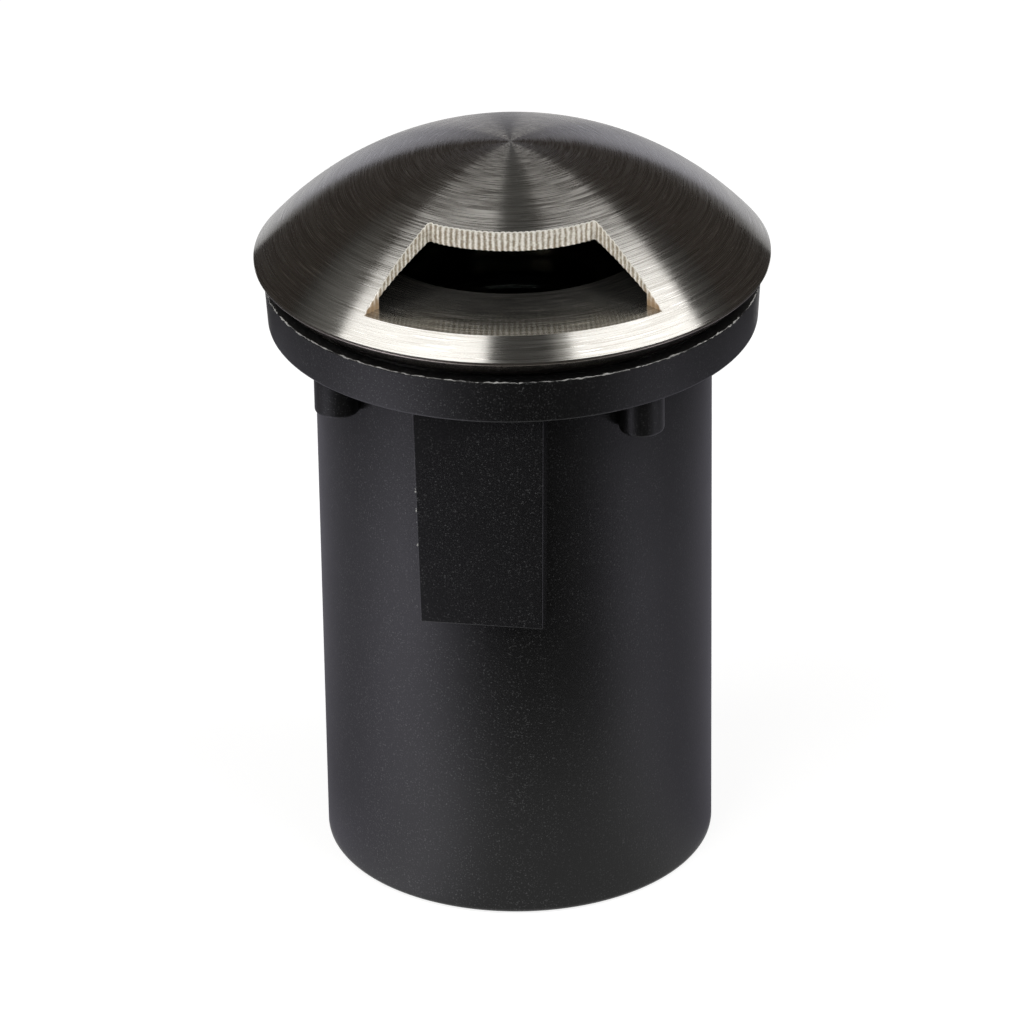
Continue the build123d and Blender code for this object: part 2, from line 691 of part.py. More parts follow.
# Terminal block on its pad
pole_plane = Plane(
    origin=turned.from_local_coords((BLOCK_X, 0, pole_z)),
    x_dir=turned.y_dir,
    z_dir=turned.x_dir,
)
screw_spots = [
    (BLOCK_X + x, y)
    for x in (-TERMINAL_SCREW_SPACING / 2, TERMINAL_SCREW_SPACING / 2)
    for y in (-POLE_SPACING / 2, POLE_SPACING / 2)
]
with BuildPart(turned) as terminal_block:
    with BuildSketch(turned.offset(pillar_top_z)):
        with Locations((BLOCK_X, 0)):
            Rectangle(BLOCK_LENGTH, block_width)
            Circle(M3_R + M3_CLEARANCE, mode=Mode.SUBTRACT)
    extrude(amount=BLOCK_H)
    with BuildSketch(pole_plane):
        with Locations((POLE_SPACING / 2, 0), (-POLE_SPACING / 2, 0)):
            Circle(TUBE_R + TUBE_FIT)
    extrude(amount=BLOCK_LENGTH, both=True, mode=Mode.SUBTRACT)
    with BuildSketch(turned.offset(block_top_z)):
        with Locations(*screw_spots):
            Circle(TERMINAL_SCREW_R + PILOT_CLEARANCE)
    extrude(amount=-(BLOCK_H - POLE_HEIGHT), mode=Mode.SUBTRACT)
terminal_block.part.label = "terminal_block"

# Brass tubes in the block
with BuildPart(turned) as terminal_tubes:
    with BuildSketch(pole_plane):
        with Locations((POLE_SPACING / 2, 0), (-POLE_SPACING / 2, 0)):
            Circle(TUBE_R)
            Circle(TUBE_BORE_R, mode=Mode.SUBTRACT)
    extrude(amount=tube_length / 2, both=True)
    with BuildSketch(turned.offset(pole_z)):
        with Locations(*screw_spots):
            Circle(TERMINAL_SCREW_R + PILOT_CLEARANCE)
    extrude(amount=BLOCK_H, mode=Mode.SUBTRACT)
terminal_tubes.part.label = "terminal_tubes"

# Clamp screws of the terminals
with BuildPart(turned) as terminal_screws:
    with BuildSketch(turned.offset(pole_z + TUBE_BORE_R - 0.2)):
        with Locations(*screw_spots):
            Circle(TERMINAL_SCREW_R)
    extrude(amount=BLOCK_H - POLE_HEIGHT - TUBE_BORE_R - TERMINAL_SCREW_DOWN)
terminal_screws.part.label = "terminal_screws"

# Screw that fixes the block
with BuildPart(turned) as block_screw:
    with BuildSketch(turned.offset(block_top_z)):
        with Locations((BLOCK_X, 0)):
            Circle(M3_HEAD_R)
    extrude(amount=M3_HEAD_H)
    with BuildSketch(turned.offset(block_top_z)):
        with Locations((BLOCK_X, 0)):
            Circle(M3_R)
    extrude(amount=-(BLOCK_H + PILOT_DEPTH - PILOT_SPARE))
block_screw.part.label = "block_screw"

# Leads from the holder down to the block
lead_top_z = holder_bottom_z + LEAD_SET
lead_end_x = BLOCK_X - tube_length / 2 + LEAD_IN
lead_start_plane = turned.offset(lead_top_z)

with BuildPart(turned) as lead_right:
    with BuildLine(turned) as right_path:
        Spline(
            (PIN_SPACING / 2, 0, lead_top_z),
            (lead_end_x, POLE_SPACING / 2, pole_z),
            tangents=((0, 0, -1), (1, 0, 0)),
        )
    with BuildSketch(lead_start_plane):
        with Locations((PIN_SPACING / 2, 0)):
            Circle(LEAD_R)
    sweep(path=right_path.line)
lead_right.part.label = "lead_right"

with BuildPart(turned) as lead_left:
    with BuildLine(turned) as left_path:
        Spline(
            (-PIN_SPACING / 2, 0, lead_top_z),
            (lead_end_x, -POLE_SPACING / 2, pole_z),
            tangents=((0, 0, -1), (1, 0, 0)),
        )
    with BuildSketch(lead_start_plane):
        with Locations((-PIN_SPACING / 2, 0)):
            Circle(LEAD_R)
    sweep(path=left_path.line)
lead_left.part.label = "lead_left"

# Gland body through the bulkhead
with BuildPart(turned) as gland_body:
    with BuildSketch(turned.offset(hex_bottom_z)):
        RegularPolygon(GLAND_HEX_AF / 2, 6, major_radius=False)
    extrude(amount=GLAND_HEX_H)
    with BuildSketch(Plane.XY.offset(stub_bottom_z)):
        Circle(GLAND_THREAD_R)
    extrude(amount=gland_top_z - stub_bottom_z)
    with BuildSketch(Plane.XY.offset(stub_bottom_z)):
        Circle(GLAND_BORE_R)
    extrude(amount=gland_top_z - stub_bottom_z, mode=Mode.SUBTRACT)
    with BuildSketch(Plane.XY.offset(stub_bottom_z)):
        Circle(gland_seat_r + GLAND_FIT)
    extrude(amount=seal_top_z - stub_bottom_z, mode=Mode.SUBTRACT)
gland_body.part.label = "gland_body"

# Washer under the bulkhead
with BuildPart() as gland_washer:
    with BuildSketch(Plane.XY.offset(washer_bottom_z)):
        Circle(GLAND_THREAD_R + GLAND_WASHER_W)
        Circle(GLAND_THREAD_R + GLAND_FIT, mode=Mode.SUBTRACT)
    extrude(amount=GLAND_WASHER_T)
gland_washer.part.label = "gland_washer"

# Locknut on the bulkhead
with BuildPart(turned) as gland_locknut:
    with BuildSketch(turned.offset(bulkhead_top_z)):
        RegularPolygon(LOCKNUT_AF / 2, 6, major_radius=False)
        Circle(GLAND_THREAD_R + GLAND_FIT, mode=Mode.SUBTRACT)
    extrude(amount=LOCKNUT_H)
gland_locknut.part.label = "gland_locknut"

# Rubber seal that closes on the cable
with BuildPart() as gland_seal:
    with BuildSketch(Plane.XY.offset(seal_bottom_z)):
        Circle(gland_seat_r)
        Circle(SEAL_BORE_R, mode=Mode.SUBTRACT)
    extrude(amount=SEAL_LENGTH)
gland_seal.part.label = "gland_seal"

# Cap nut over the gland's lower end
with BuildPart() as gland_cap:
    with BuildSketch(Plane.XY.offset(cap_bottom_z)):
        Circle(cap_r)
    extrude(amount=cap_top_z - cap_bottom_z)
    fillet(gland_cap.edges().group_by(Axis.Z)[0], CAP_FILLET)
    with BuildSketch(Plane.XY.offset(seal_bottom_z)):
        Circle(GLAND_THREAD_R + GLAND_FIT)
    extrude(amount=cap_top_z - cap_bottom_z, mode=Mode.SUBTRACT)
    with BuildSketch(Plane.XY.offset(cap_bottom_z)):
        Circle(CAP_HOLE_R)
    extrude(amount=cap_top_z - cap_bottom_z, mode=Mode.SUBTRACT)
gland_cap.part.label = "gland_cap"

# One STEP file for each piece
export_step(sleeve.part, "parts/sleeve.step")
export_step(lens_gasket.part, "parts/lens_gasket.step")
export_step(lens.part, "parts/lens.step")
export_step(clamp_ring.part, "parts/clamp_ring.step")
export_step(clamp_screws.part, "parts/clamp_screws.step")
export_step(holder_bracket.part, "parts/holder_bracket.step")
export_step(bracket_screws.part, "parts/bracket_screws.step")
export_step(lampholder.part, "parts/lampholder.step")
export_step(holder_screws.part, "parts/holder_screws.step")
export_step(holder_nuts.part, "parts/holder_nuts.step")
export_step(lead_left.part, "parts/lead_left.step")
export_step(lead_right.part, "parts/lead_right.step")
export_step(terminal_block.part, "parts/terminal_block.step")
export_step(terminal_tubes.part, "parts/terminal_tubes.step")
export_step(terminal_screws.part, "parts/terminal_screws.step")
export_step(block_screw.part, "parts/block_screw.step")
export_step(gland_body.part, "parts/gland_body.step")
export_step(gland_washer.part, "parts/gland_washer.step")
export_step(gland_locknut.part, "parts/gland_locknut.step")
export_step(gland_seal.part, "parts/gland_seal.step")
export_step(gland_cap.part, "parts/gland_cap.step")
export_step(grip_ring.part, "parts/grip_ring.step")
export_step(dome_cover.part, "parts/dome_cover.step")
export_step(floor_plate.part, "parts/floor_plate.step")
export_step(lamp_housing.part, "parts/lamp_housing.step")
export_step(lamp_board.part, "parts/lamp_board.step")
export_step(lamp_leds.part, "parts/lamp_leds.step")
export_step(lamp_lens.part, "parts/lamp_lens.step")
export_step(lamp_base.part, "parts/lamp_base.step")
export_step(lamp_pins.part, "parts/lamp_pins.step")
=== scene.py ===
"""Walk-over marker light: a brushed steel dome with one window on a black ground canister.

The light's sizes are in millimetres and are scaled to metres where a mesh is made. Ranges in the
finishes and the sizes of the studio are in metres.
"""
import math
import random

import bmesh
import bpy
from mathutils import Matrix, Vector


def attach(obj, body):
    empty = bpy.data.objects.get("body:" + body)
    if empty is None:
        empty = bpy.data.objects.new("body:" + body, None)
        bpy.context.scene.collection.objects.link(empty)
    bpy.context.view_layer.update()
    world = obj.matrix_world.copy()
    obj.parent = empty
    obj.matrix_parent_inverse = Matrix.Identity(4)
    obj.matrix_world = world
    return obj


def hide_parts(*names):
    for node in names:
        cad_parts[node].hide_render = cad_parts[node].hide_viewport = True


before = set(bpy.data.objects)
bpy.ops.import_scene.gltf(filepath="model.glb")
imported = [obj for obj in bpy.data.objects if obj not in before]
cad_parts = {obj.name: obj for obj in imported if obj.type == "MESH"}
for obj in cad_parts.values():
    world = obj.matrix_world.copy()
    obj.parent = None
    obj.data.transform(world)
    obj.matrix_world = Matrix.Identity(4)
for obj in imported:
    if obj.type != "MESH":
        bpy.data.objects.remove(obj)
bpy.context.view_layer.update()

# Canister: one black polypropylene moulding that stays in the ground. A tube with a collar,
# four screw bosses under the collar, two key blocks on its sides, and a bulkhead across it.
MM = 0.001
SHARP_ANGLE = math.radians(35)
CANISTER_TURN = math.radians(-9.5)
TUBE_R = 42.5
BORE_R = 40.0
BULKHEAD_UNDER_Z = 26.0
BULKHEAD_TOP_Z = 29.0
GLAND_HOLE_R = 8.2
COLLAR_UNDER_Z = 123.5
COLLAR_TOP_Z = 133.2
COLLAR_TOP_R = 52.9
INTO_COLLAR_Z = 125.0
RECESS_R = 49.8
SEAT_Z = 126.5
SEAT_BORE_R = 37.5
SEAT_LIP_Z = 121.5
SEAT_CONE_Z = 119.0
BOSS_CIRCLE_R = 45.8
BOSS_R = 4.8
BOSS_BOTTOM_Z = 114.45
BOSS_ROOT_R = 40.4
KEY_BOTTOM_Z = 72.4
KEY_DRAFT_H = 54.1
KEY_HALF = 13.1
KEY_HALF_DRAFT = 0.8
KEY_FACE = 46.0
KEY_FACE_DRAFT = 0.6
KEY_ROOT_R = 41.2
KEY_ROOT_STEPS = 8
KEY_EDGE = 0.35
KEY_EDGE_STEPS = 3
BRACKET_Y = 29.0
PILLAR_R = 4.0
PILLAR_FOOT_Z = 28.0
PILLAR_TOP_Z = 34.0
BLOCK_X = 24.5
PAD_SIZE = (12, 18, 6)
PAD_MIDDLE_Z = 31.0
CANISTER_BLACK = (0.0042, 0.0042, 0.0043, 1.0)
CANISTER_SPECK = (0.068, 0.069, 0.071, 1.0)


class Tone:
    """One socket in a material's nodes. Operators add Math nodes, and node() adds any other."""

    def __init__(self, tree, socket):
        self.tree = tree
        self.socket = socket

    def node(self, kind, sockets=None, out=0, **settings):
        made = self.tree.nodes.new("ShaderNode" + kind)
        for name, value in settings.items():
            setattr(made, name, value)
        for name, value in (sockets or {}).items():
            if isinstance(value, Tone):
                self.tree.links.new(value.socket, made.inputs[name])
            else:
                made.inputs[name].default_value = value
        return Tone(self.tree, made.outputs[out]) if made.outputs else made

    def sum_up(self, operation, first, second=0.0):
        return self.node("Math", {0: first, 1: second}, operation=operation)

    def __add__(self, other):
        return self.sum_up("ADD", self, other)

    def __radd__(self, other):
        return self.sum_up("ADD", other, self)

    def __sub__(self, other):
        return self.sum_up("SUBTRACT", self, other)

    def __rsub__(self, other):
        return self.sum_up("SUBTRACT", other, self)

    def __mul__(self, other):
        return self.sum_up("MULTIPLY", self, other)

    def __rmul__(self, other):
        return self.sum_up("MULTIPLY", other, self)

    def __truediv__(self, other):
        return self.sum_up("DIVIDE", self, other)

    def __rtruediv__(self, other):
        return self.sum_up("DIVIDE", other, self)

    def __pow__(self, other):
        return self.sum_up("POWER", self, other)

    def __rpow__(self, other):
        return self.sum_up("POWER", other, self)

    def axis(self, number):
        """The x, y or z of a place, by its number."""
        return self.node("SeparateXYZ", {0: self}, out=number)

    def rise(self, low, high):
        """0 below low, 1 above high, with a soft step between them."""
        return self.node(
            "MapRange", {"Value": self, "From Min": low, "From Max": high},
            interpolation_type="SMOOTHSTEP",
        )

    def between(self, colour, other):
        """A colour that goes from one to the other as this value goes from 0 to 1."""
        return self.node("Mix", {0: self, 6: colour, 7: other}, out=2, data_type="RGBA")

    def noise(self, scale, detail=2.0):
        return self.node("TexNoise", {"Vector": self, "Scale": scale, "Detail": detail})

    def bump(self, strength, distance):
        return self.node("Bump", {"Height": self, "Strength": strength, "Distance": distance})


def new_finish(name):
    """A new material, its main shader and the piece's own coordinates."""
    material = bpy.data.materials.new(name)
    material.use_nodes = True
    tree = material.node_tree
    place = Tone(tree, tree.nodes.new("ShaderNodeTexCoord").outputs["Object"])
    return material, tree.nodes["Principled BSDF"], place


def lay_on(shader, **values):
    """Sets the main shader's sockets, with _ for the spaces in their names."""
    for name, value in values.items():
        socket = shader.inputs[name.replace("_", " ")]
        if isinstance(value, Tone):
            value.tree.links.new(value.socket, socket)
        else:
            socket.default_value = value


def rounded(corners, steps=4):
    """Outline points from corners (radius, height, fillet), each fillet as a short arc."""
    points = []
    for index, (radius, height, fillet) in enumerate(corners):
        here = Vector((radius, height))
        if not fillet:
            points.append(here)
            continue
        back = (Vector(corners[index - 1][:2]) - here).normalized()
        ahead = (Vector(corners[(index + 1) % len(corners)][:2]) - here).normalized()
        half = back.angle(ahead) / 2
        middle = here + (back + ahead).normalized() * fillet / math.sin(half)
        first = here + back * fillet / math.tan(half) - middle
        last = here + ahead * fillet / math.tan(half) - middle
        sweep = math.atan2(first.x * last.y - first.y * last.x, first.dot(last))
        for step in range(steps + 1):
            points.append(middle + Matrix.Rotation(sweep * step / steps, 2) @ first)
    return points


def turn_on_lathe(bm, outline, segments=192, centre=(0.0, 0.0)):
    """Turns a closed outline about an upright axis and returns the new points."""
    rings = []
    for radius, height in outline:
        if radius < 0.001:
            rings.append([bm.verts.new((centre[0] * MM, centre[1] * MM, height * MM))])
            continue
        ring = []
        for index in range(segments):
            angle = 2 * math.pi * index / segments
            x = centre[0] + radius * math.cos(angle)
            y = centre[1] + radius * math.sin(angle)
            ring.append(bm.verts.new((x * MM, y * MM, height * MM)))
        rings.append(ring)
    for lower, upper in zip(rings, rings[1:] + rings[:1]):
        if len(lower) + len(upper) == 2:
            continue
        for index in range(segments):
            after = (index + 1) % segments
            corners = [
                lower[index % len(lower)],
                lower[after % len(lower)],
                upper[after % len(upper)],
                upper[index % len(upper)],
            ]
            bm.faces.new(list(dict.fromkeys(corners)))
    return [vert for ring in rings for vert in ring]


def close_between(bm, rings):
    """Joins rings of as many points with bands of faces, and closes both ends."""
    for lower, upper in zip(rings, rings[1:]):
        for index in range(len(lower)):
            after = (index + 1) % len(lower)
            bm.faces.new((lower[index], lower[after], upper[after], upper[index]))
    bm.faces.new(rings[0])
    bm.faces.new(rings[-1])


def settle(made):
    """Makes the modifiers' result the object's own plain mesh."""
    bpy.context.view_layer.update()
    graph = bpy.context.evaluated_depsgraph_get()
    ready = bpy.data.meshes.new_from_object(
        made.evaluated_get(graph), preserve_all_data_layers=True, depsgraph=graph
    )
    made.modifiers.clear()
    drawn = made.data
    made.data = ready
    bpy.data.meshes.remove(drawn)
    ready.name = made.name
    return made


def as_piece(name, bm, *finishes):
    """An object from a mesh under way, shaded smooth but for its sharp edges."""
    bmesh.ops.recalc_face_normals(bm, faces=bm.faces)
    mesh = bpy.data.meshes.new(name)
    bm.to_mesh(mesh)
    bm.free()
    mesh.shade_smooth()
    mesh.set_sharp_from_angle(angle=SHARP_ANGLE)
    for finish in finishes:
        mesh.materials.append(finish)
    made = bpy.data.objects.new(name, mesh)
    bpy.context.scene.collection.objects.link(made)
    made.modifiers.new("even shading", "WEIGHTED_NORMAL").keep_sharp = True
    return settle(made)


def fit(made, body, slot, *nodes):
    """Says which body a piece rides on and the CAD nodes it stands for. The finish slot is not
    used.
    """
    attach(made, body)
    if nodes:
        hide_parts(*nodes)
    return made


# The dust is wiped off on the right and lies thicker low down on the left.
canister_finish, shader, place = new_finish("canister_plastic")
grain = place.noise(2600.0, 2.0)
flow = place.noise(38.0, 3.0)
dust = place.noise(3000.0, 1.5).rise(0.56, 0.77)
patchy = place.noise(160.0, 2.0).rise(0.10, 0.60)
across = place.axis(0)
wiped = 1.0 - 0.45 * across.rise(0.004, 0.012)
far_left = 1.0 - across.rise(-0.028, -0.018)
low_down = 1.0 - place.axis(2).rise(0.055, 0.085)
dusty_foot = 1.0 + 0.5 * far_left * low_down
key_face = place.node("Attribute", out=2, attribute_name="key_face")
lay_on(
    shader,
    Base_Color=(dust * patchy * wiped * dusty_foot).between(CANISTER_BLACK, CANISTER_SPECK),
    Roughness=0.30 + 0.10 * flow + 0.06 * grain - 0.04 * key_face,
    Specular_IOR_Level=0.42,
    Normal=(grain + 0.6 * flow).bump(0.22, 0.00012),
)

canister_mesh = bmesh.new()
key_mark = canister_mesh.verts.layers.float.new("key_face")
canister_outline = rounded(
    [
        (BORE_R, 0.0, 0.5), (TUBE_R, 0.0, 1.0), (TUBE_R, COLLAR_UNDER_Z, 0.5),
        (COLLAR_TOP_R - 0.6, COLLAR_UNDER_Z, 0.7), (COLLAR_TOP_R, COLLAR_TOP_Z, 0.3),
        (RECESS_R, COLLAR_TOP_Z, 0.3), (RECESS_R, SEAT_Z, 0.3), (SEAT_BORE_R, SEAT_Z, 0.3),
        (SEAT_BORE_R, SEAT_LIP_Z, 0.2), (BORE_R, SEAT_CONE_Z, 0.3),
        (BORE_R, BULKHEAD_TOP_Z, 0.6), (GLAND_HOLE_R, BULKHEAD_TOP_Z, 0.0),
        (GLAND_HOLE_R, BULKHEAD_UNDER_Z, 0.0), (BORE_R, BULKHEAD_UNDER_Z, 0.6),
    ]
)
turn_on_lathe(canister_mesh, canister_outline, 256)

boss_outline = rounded(
    [
        (0.0, BOSS_BOTTOM_Z, 0.0), (BOSS_R, BOSS_BOTTOM_Z, 0.8), (BOSS_R, INTO_COLLAR_Z, 0.0),
        (0.0, INTO_COLLAR_Z, 0.0),
    ]
)
for quarter in range(4):
    angle = CANISTER_TURN + math.pi / 4 + quarter * math.pi / 2
    boss_centre = (BOSS_CIRCLE_R * math.cos(angle), BOSS_CIRCLE_R * math.sin(angle))
    for vert in turn_on_lathe(canister_mesh, boss_outline, 48, boss_centre):
        reach = vert.co.xy.length
        if reach < BOSS_ROOT_R * MM:
            vert.co.x *= BOSS_ROOT_R * MM / reach
            vert.co.y *= BOSS_ROOT_R * MM / reach


def key_size(level):
    """Half the width of a key block and how far out its face is, at one height."""
    draft = (level - KEY_BOTTOM_Z) / KEY_DRAFT_H
    return KEY_HALF + KEY_HALF_DRAFT * draft, KEY_FACE + KEY_FACE_DRAFT * draft


upright = Matrix.Rotation(CANISTER_TURN, 4, "Z")
key_levels = []
for step in range(KEY_EDGE_STEPS, -1, -1):
    bend = math.pi / 2 * step / KEY_EDGE_STEPS
    level = KEY_BOTTOM_Z + KEY_EDGE * (1 - math.sin(bend))
    key_levels.append((level, KEY_EDGE * (1 - math.cos(bend))))
key_levels.append((INTO_COLLAR_Z, 0.0))
for side in (0.0, math.pi):
    turned = upright @ Matrix.Rotation(side, 4, "Z")
    rings = []
    for level, inset in key_levels:
        half, face = (size - inset for size in key_size(level))
        outline = []
        for corner in (-1, 1):
            for step in range(KEY_EDGE_STEPS + 1):
                share = step / KEY_EDGE_STEPS
                bend = math.pi / 2 * (share if corner < 0 else 1 - share)
                x = corner * (half - KEY_EDGE + KEY_EDGE * math.cos(bend))
                y = -(face - KEY_EDGE + KEY_EDGE * math.sin(bend))
                outline.append((x, y))
        for step in range(KEY_ROOT_STEPS + 1):
            x = half * (1 - 2 * step / KEY_ROOT_STEPS)
            outline.append((x, -math.sqrt(KEY_ROOT_R**2 - x**2)))
        ring = []
        for x, y in outline:
            vert = canister_mesh.verts.new(turned @ Vector((x * MM, y * MM, level * MM)))
            vert[key_mark] = 1.0
            ring.append(vert)
        rings.append(ring)
    close_between(canister_mesh, rings)

pillar_outline = rounded(
    [
        (0.0, PILLAR_FOOT_Z, 0.0), (PILLAR_R, PILLAR_FOOT_Z, 0.0), (PILLAR_R, PILLAR_TOP_Z, 0.3),
        (0.0, PILLAR_TOP_Z, 0.0),
    ]
)
for spot_y in (-BRACKET_Y, BRACKET_Y):
    spot = upright @ Vector((0.0, spot_y, 0.0))
    turn_on_lathe(canister_mesh, pillar_outline, 48, (spot.x, spot.y))
pad = bmesh.ops.create_cube(canister_mesh, size=1.0)["verts"]
for vert in pad:
    x, y, z = (size * share for size, share in zip(PAD_SIZE, vert.co))
    vert.co = upright @ Vector(((BLOCK_X + x) * MM, y * MM, (PAD_MIDDLE_Z + z) * MM))

canister = as_piece("canister_moulding", canister_mesh, canister_finish)
fit(canister, "canister", "canister_plastic", "sleeve")

# Moulding flash and chips: a thin torn edge that the mould left round the collar's top, and nicks
# on one edge of the front key block. Both are the canister's own plastic, paler where scuffed.
CHIPS = (
    (104.1, 0.09), (103.4, 0.16), (99.4, 0.11), (98.9, 0.15), (96.3, 0.07), (94.7, 0.05),
    (90.8, 0.16),
)
CHIP_SUNK = 0.1

flash_finish, shader, place = new_finish("moulding_flash")
scuff = place.noise(900.0, 3.0)
torn = place.noise(170.0, 2.0).rise(0.28, 0.56) * (0.35 + scuff)
lay_on(
    shader,
    Base_Color=torn.between((0.03, 0.031, 0.034, 1.0), (0.47, 0.47, 0.455, 1.0)),
    Roughness=0.45 + 0.3 * scuff,
    Normal=scuff.bump(0.4, 0.0001),
)


def add_node(tree, kind, sockets=None, **settings):
    """A geometry node with its settings, then its values or links."""
    made = tree.nodes.new(kind)
    for name, value in settings.items():
        setattr(made, name, value)
    for name, value in (sockets or {}).items():
        if isinstance(value, bpy.types.NodeSocket):
            tree.links.new(value, made.inputs[name])
        else:
            made.inputs[name].default_value = value
    return made


def new_tree(name, **inputs):
    """An empty geometry tree with named inputs and a finish, and its group input's sockets."""
    tree = bpy.data.node_groups.new(name, "GeometryNodeTree")
    tree.interface.new_socket("Geometry", in_out="INPUT", socket_type="NodeSocketGeometry")
    for label, kind in {**inputs, "Finish": "Material"}.items():
        tree.interface.new_socket(label, in_out="INPUT", socket_type="NodeSocket" + kind)
    tree.interface.new_socket("Geometry", in_out="OUTPUT", socket_type="NodeSocketGeometry")
    return tree, tree.nodes.new("NodeGroupInput").outputs


def end_tree(tree, shape, finish):
    """Ends a geometry tree: the shape as real mesh, with its finish, into the group output."""
    whole = add_node(tree, "GeometryNodeRealizeInstances", {"Geometry": shape})
    painted = add_node(
        tree, "GeometryNodeSetMaterial", {"Geometry": whole.outputs[0], "Material": finish}
    )
    tree.links.new(painted.outputs[0], tree.nodes.new("NodeGroupOutput").inputs[0])


def grow(name, tree, spots, **values):
    """A plain mesh from a geometry tree, run on points given in millimetres."""
    mesh = bpy.data.meshes.new(name)
    mesh.from_pydata([Vector(spot) * MM for spot in spots], [], [])
    made = bpy.data.objects.new(name, mesh)
    bpy.context.scene.collection.objects.link(made)
    modifier = made.modifiers.new(name, "NODES")
    modifier.node_group = tree
    for item in tree.interface.items_tree:
        if item.in_out == "INPUT" and item.name in values:
            modifier[item.identifier] = values[item.name]
    return settle(made)


flash_tree, given = new_tree(
    "flash_ring", Radius="Float", Height="Float", Thickness="Float", Wander="Float", Seed="Float"
)
circle = add_node(
    flash_tree, "GeometryNodeCurvePrimitiveCircle",
    {"Resolution": 1500, "Radius": given["Radius"]},
)
spot = add_node(flash_tree, "GeometryNodeInputPosition")
ripple = add_node(
    flash_tree, "ShaderNodeTexNoise",
    {"Vector": spot.outputs[0], "W": given["Seed"], "Scale": 900.0, "Detail": 5.0},
    noise_dimensions="4D",
)
centred = add_node(
    flash_tree, "ShaderNodeVectorMath", {0: ripple.outputs["Color"], 1: (0.5, 0.5, 0.5)},
    operation="SUBTRACT",
)
strayed = add_node(
    flash_tree, "ShaderNodeVectorMath", {0: centred.outputs[0], "Scale": given["Wander"]},
    operation="SCALE",
)
raised = add_node(flash_tree, "ShaderNodeCombineXYZ", {"Z": given["Height"]})
moved = add_node(
    flash_tree, "ShaderNodeVectorMath", {0: strayed.outputs[0], 1: raised.outputs[0]},
    operation="ADD",
)
placed = add_node(
    flash_tree, "GeometryNodeSetPosition",
    {"Geometry": circle.outputs[0], "Offset": moved.outputs[0]},
)
lumps = add_node(
    flash_tree, "ShaderNodeTexNoise",
    {"Vector": spot.outputs[0], "W": given["Seed"], "Scale": 640.0, "Detail": 3.0},
    noise_dimensions="4D",
)
lump_size = add_node(
    flash_tree, "ShaderNodeMapRange",
    {"Value": lumps.outputs[0], "From Min": 0.42, "From Max": 0.72, "To Min": 0.30, "To Max": 2.4},
)
thick = add_node(
    flash_tree, "ShaderNodeMath", {0: lump_size.outputs[0], 1: given["Thickness"]},
    operation="MULTIPLY",
)
section = add_node(
    flash_tree, "GeometryNodeCurvePrimitiveCircle", {"Resolution": 6, "Radius": 1.0}
)
swept = add_node(
    flash_tree, "GeometryNodeCurveToMesh",
    {"Curve": placed.outputs[0], "Profile Curve": section.outputs[0], "Scale": thick.outputs[0]},
)
end_tree(flash_tree, swept.outputs[0], given["Finish"])
flash = grow(
    "collar_flash", flash_tree, [(0, 0, 0)], Radius=(COLLAR_TOP_R - 0.1) * MM,
    Height=(COLLAR_TOP_Z - 0.1) * MM, Thickness=0.115 * MM, Wander=0.80 * MM, Seed=4.0,
    Finish=flash_finish,
)
flash.data.shade_smooth()
fit(flash, "canister", "canister_plastic")

chip_mesh = bmesh.new()
chip_chance = random.Random(5)
for level, size in CHIPS:
    half, face = key_size(level)
    corner = upright @ Vector((CHIP_SUNK - half, CHIP_SUNK - face, level))
    stretch = Matrix.Diagonal((1.0, 1.0, chip_chance.uniform(0.8, 2.4), 1.0))
    chip = bmesh.ops.create_icosphere(
        chip_mesh, subdivisions=2, radius=size * MM,
        matrix=Matrix.Translation(corner * MM) @ stretch,
    )
    for vert in chip["verts"]:
        vert.co += Vector([chip_chance.uniform(-0.04, 0.04) * MM for axis in range(3)])
fit(as_piece("key_chips", chip_mesh, flash_finish), "canister", "canister_plastic")

# Lens gasket and grip ring: black rubber. The flat ring lies under the glass, and the round one
# sits in the spigot's groove, where it grips the head's skirt.
GLASS_R = 41.0
GLASS_UNDER_Z = 128.0
GRIP_RING_R = 41.72
GRIP_RING_Z = 137.3

rubber_finish, shader, place = new_finish("black_rubber")
bloom = place.noise(300.0, 3.0)
pores = place.noise(4200.0, 1.0)
lay_on(
    shader,
    Base_Color=bloom.rise(0.35, 0.75).between(
        (0.010, 0.010, 0.011, 1.0), (0.030, 0.029, 0.028, 1.0)
    ),
    Roughness=0.62 + 0.2 * bloom,
    Normal=pores.bump(0.25, 0.0001),
)
gasket_mesh = bmesh.new()
gasket_outline = rounded(
    [
        (SEAT_BORE_R, SEAT_Z, 0.2), (GLASS_R, SEAT_Z, 0.2), (GLASS_R, GLASS_UNDER_Z, 0.2),
        (SEAT_BORE_R, GLASS_UNDER_Z, 0.2),
    ]
)
turn_on_lathe(gasket_mesh, gasket_outline)
fit(as_piece("gasket_ring", gasket_mesh, rubber_finish), "canister", "rubber", "lens_gasket")
grip_mesh = bmesh.new()
grip_outline = []
for step in range(24):
    bend = math.pi * step / 12
    grip_outline.append((GRIP_RING_R + math.cos(bend), GRIP_RING_Z + math.sin(bend)))
turn_on_lathe(grip_mesh, grip_outline)
fit(as_piece("grip_o_ring", grip_mesh, rubber_finish), "grip", "rubber", "grip_ring")

# Lens: a disc of toughened float glass, faintly green, with ground edges. It lies on the gasket,
# and the clamp ring holds it down.
GLASS_TOP_Z = 133.0
GROUND_EDGE = 0.5

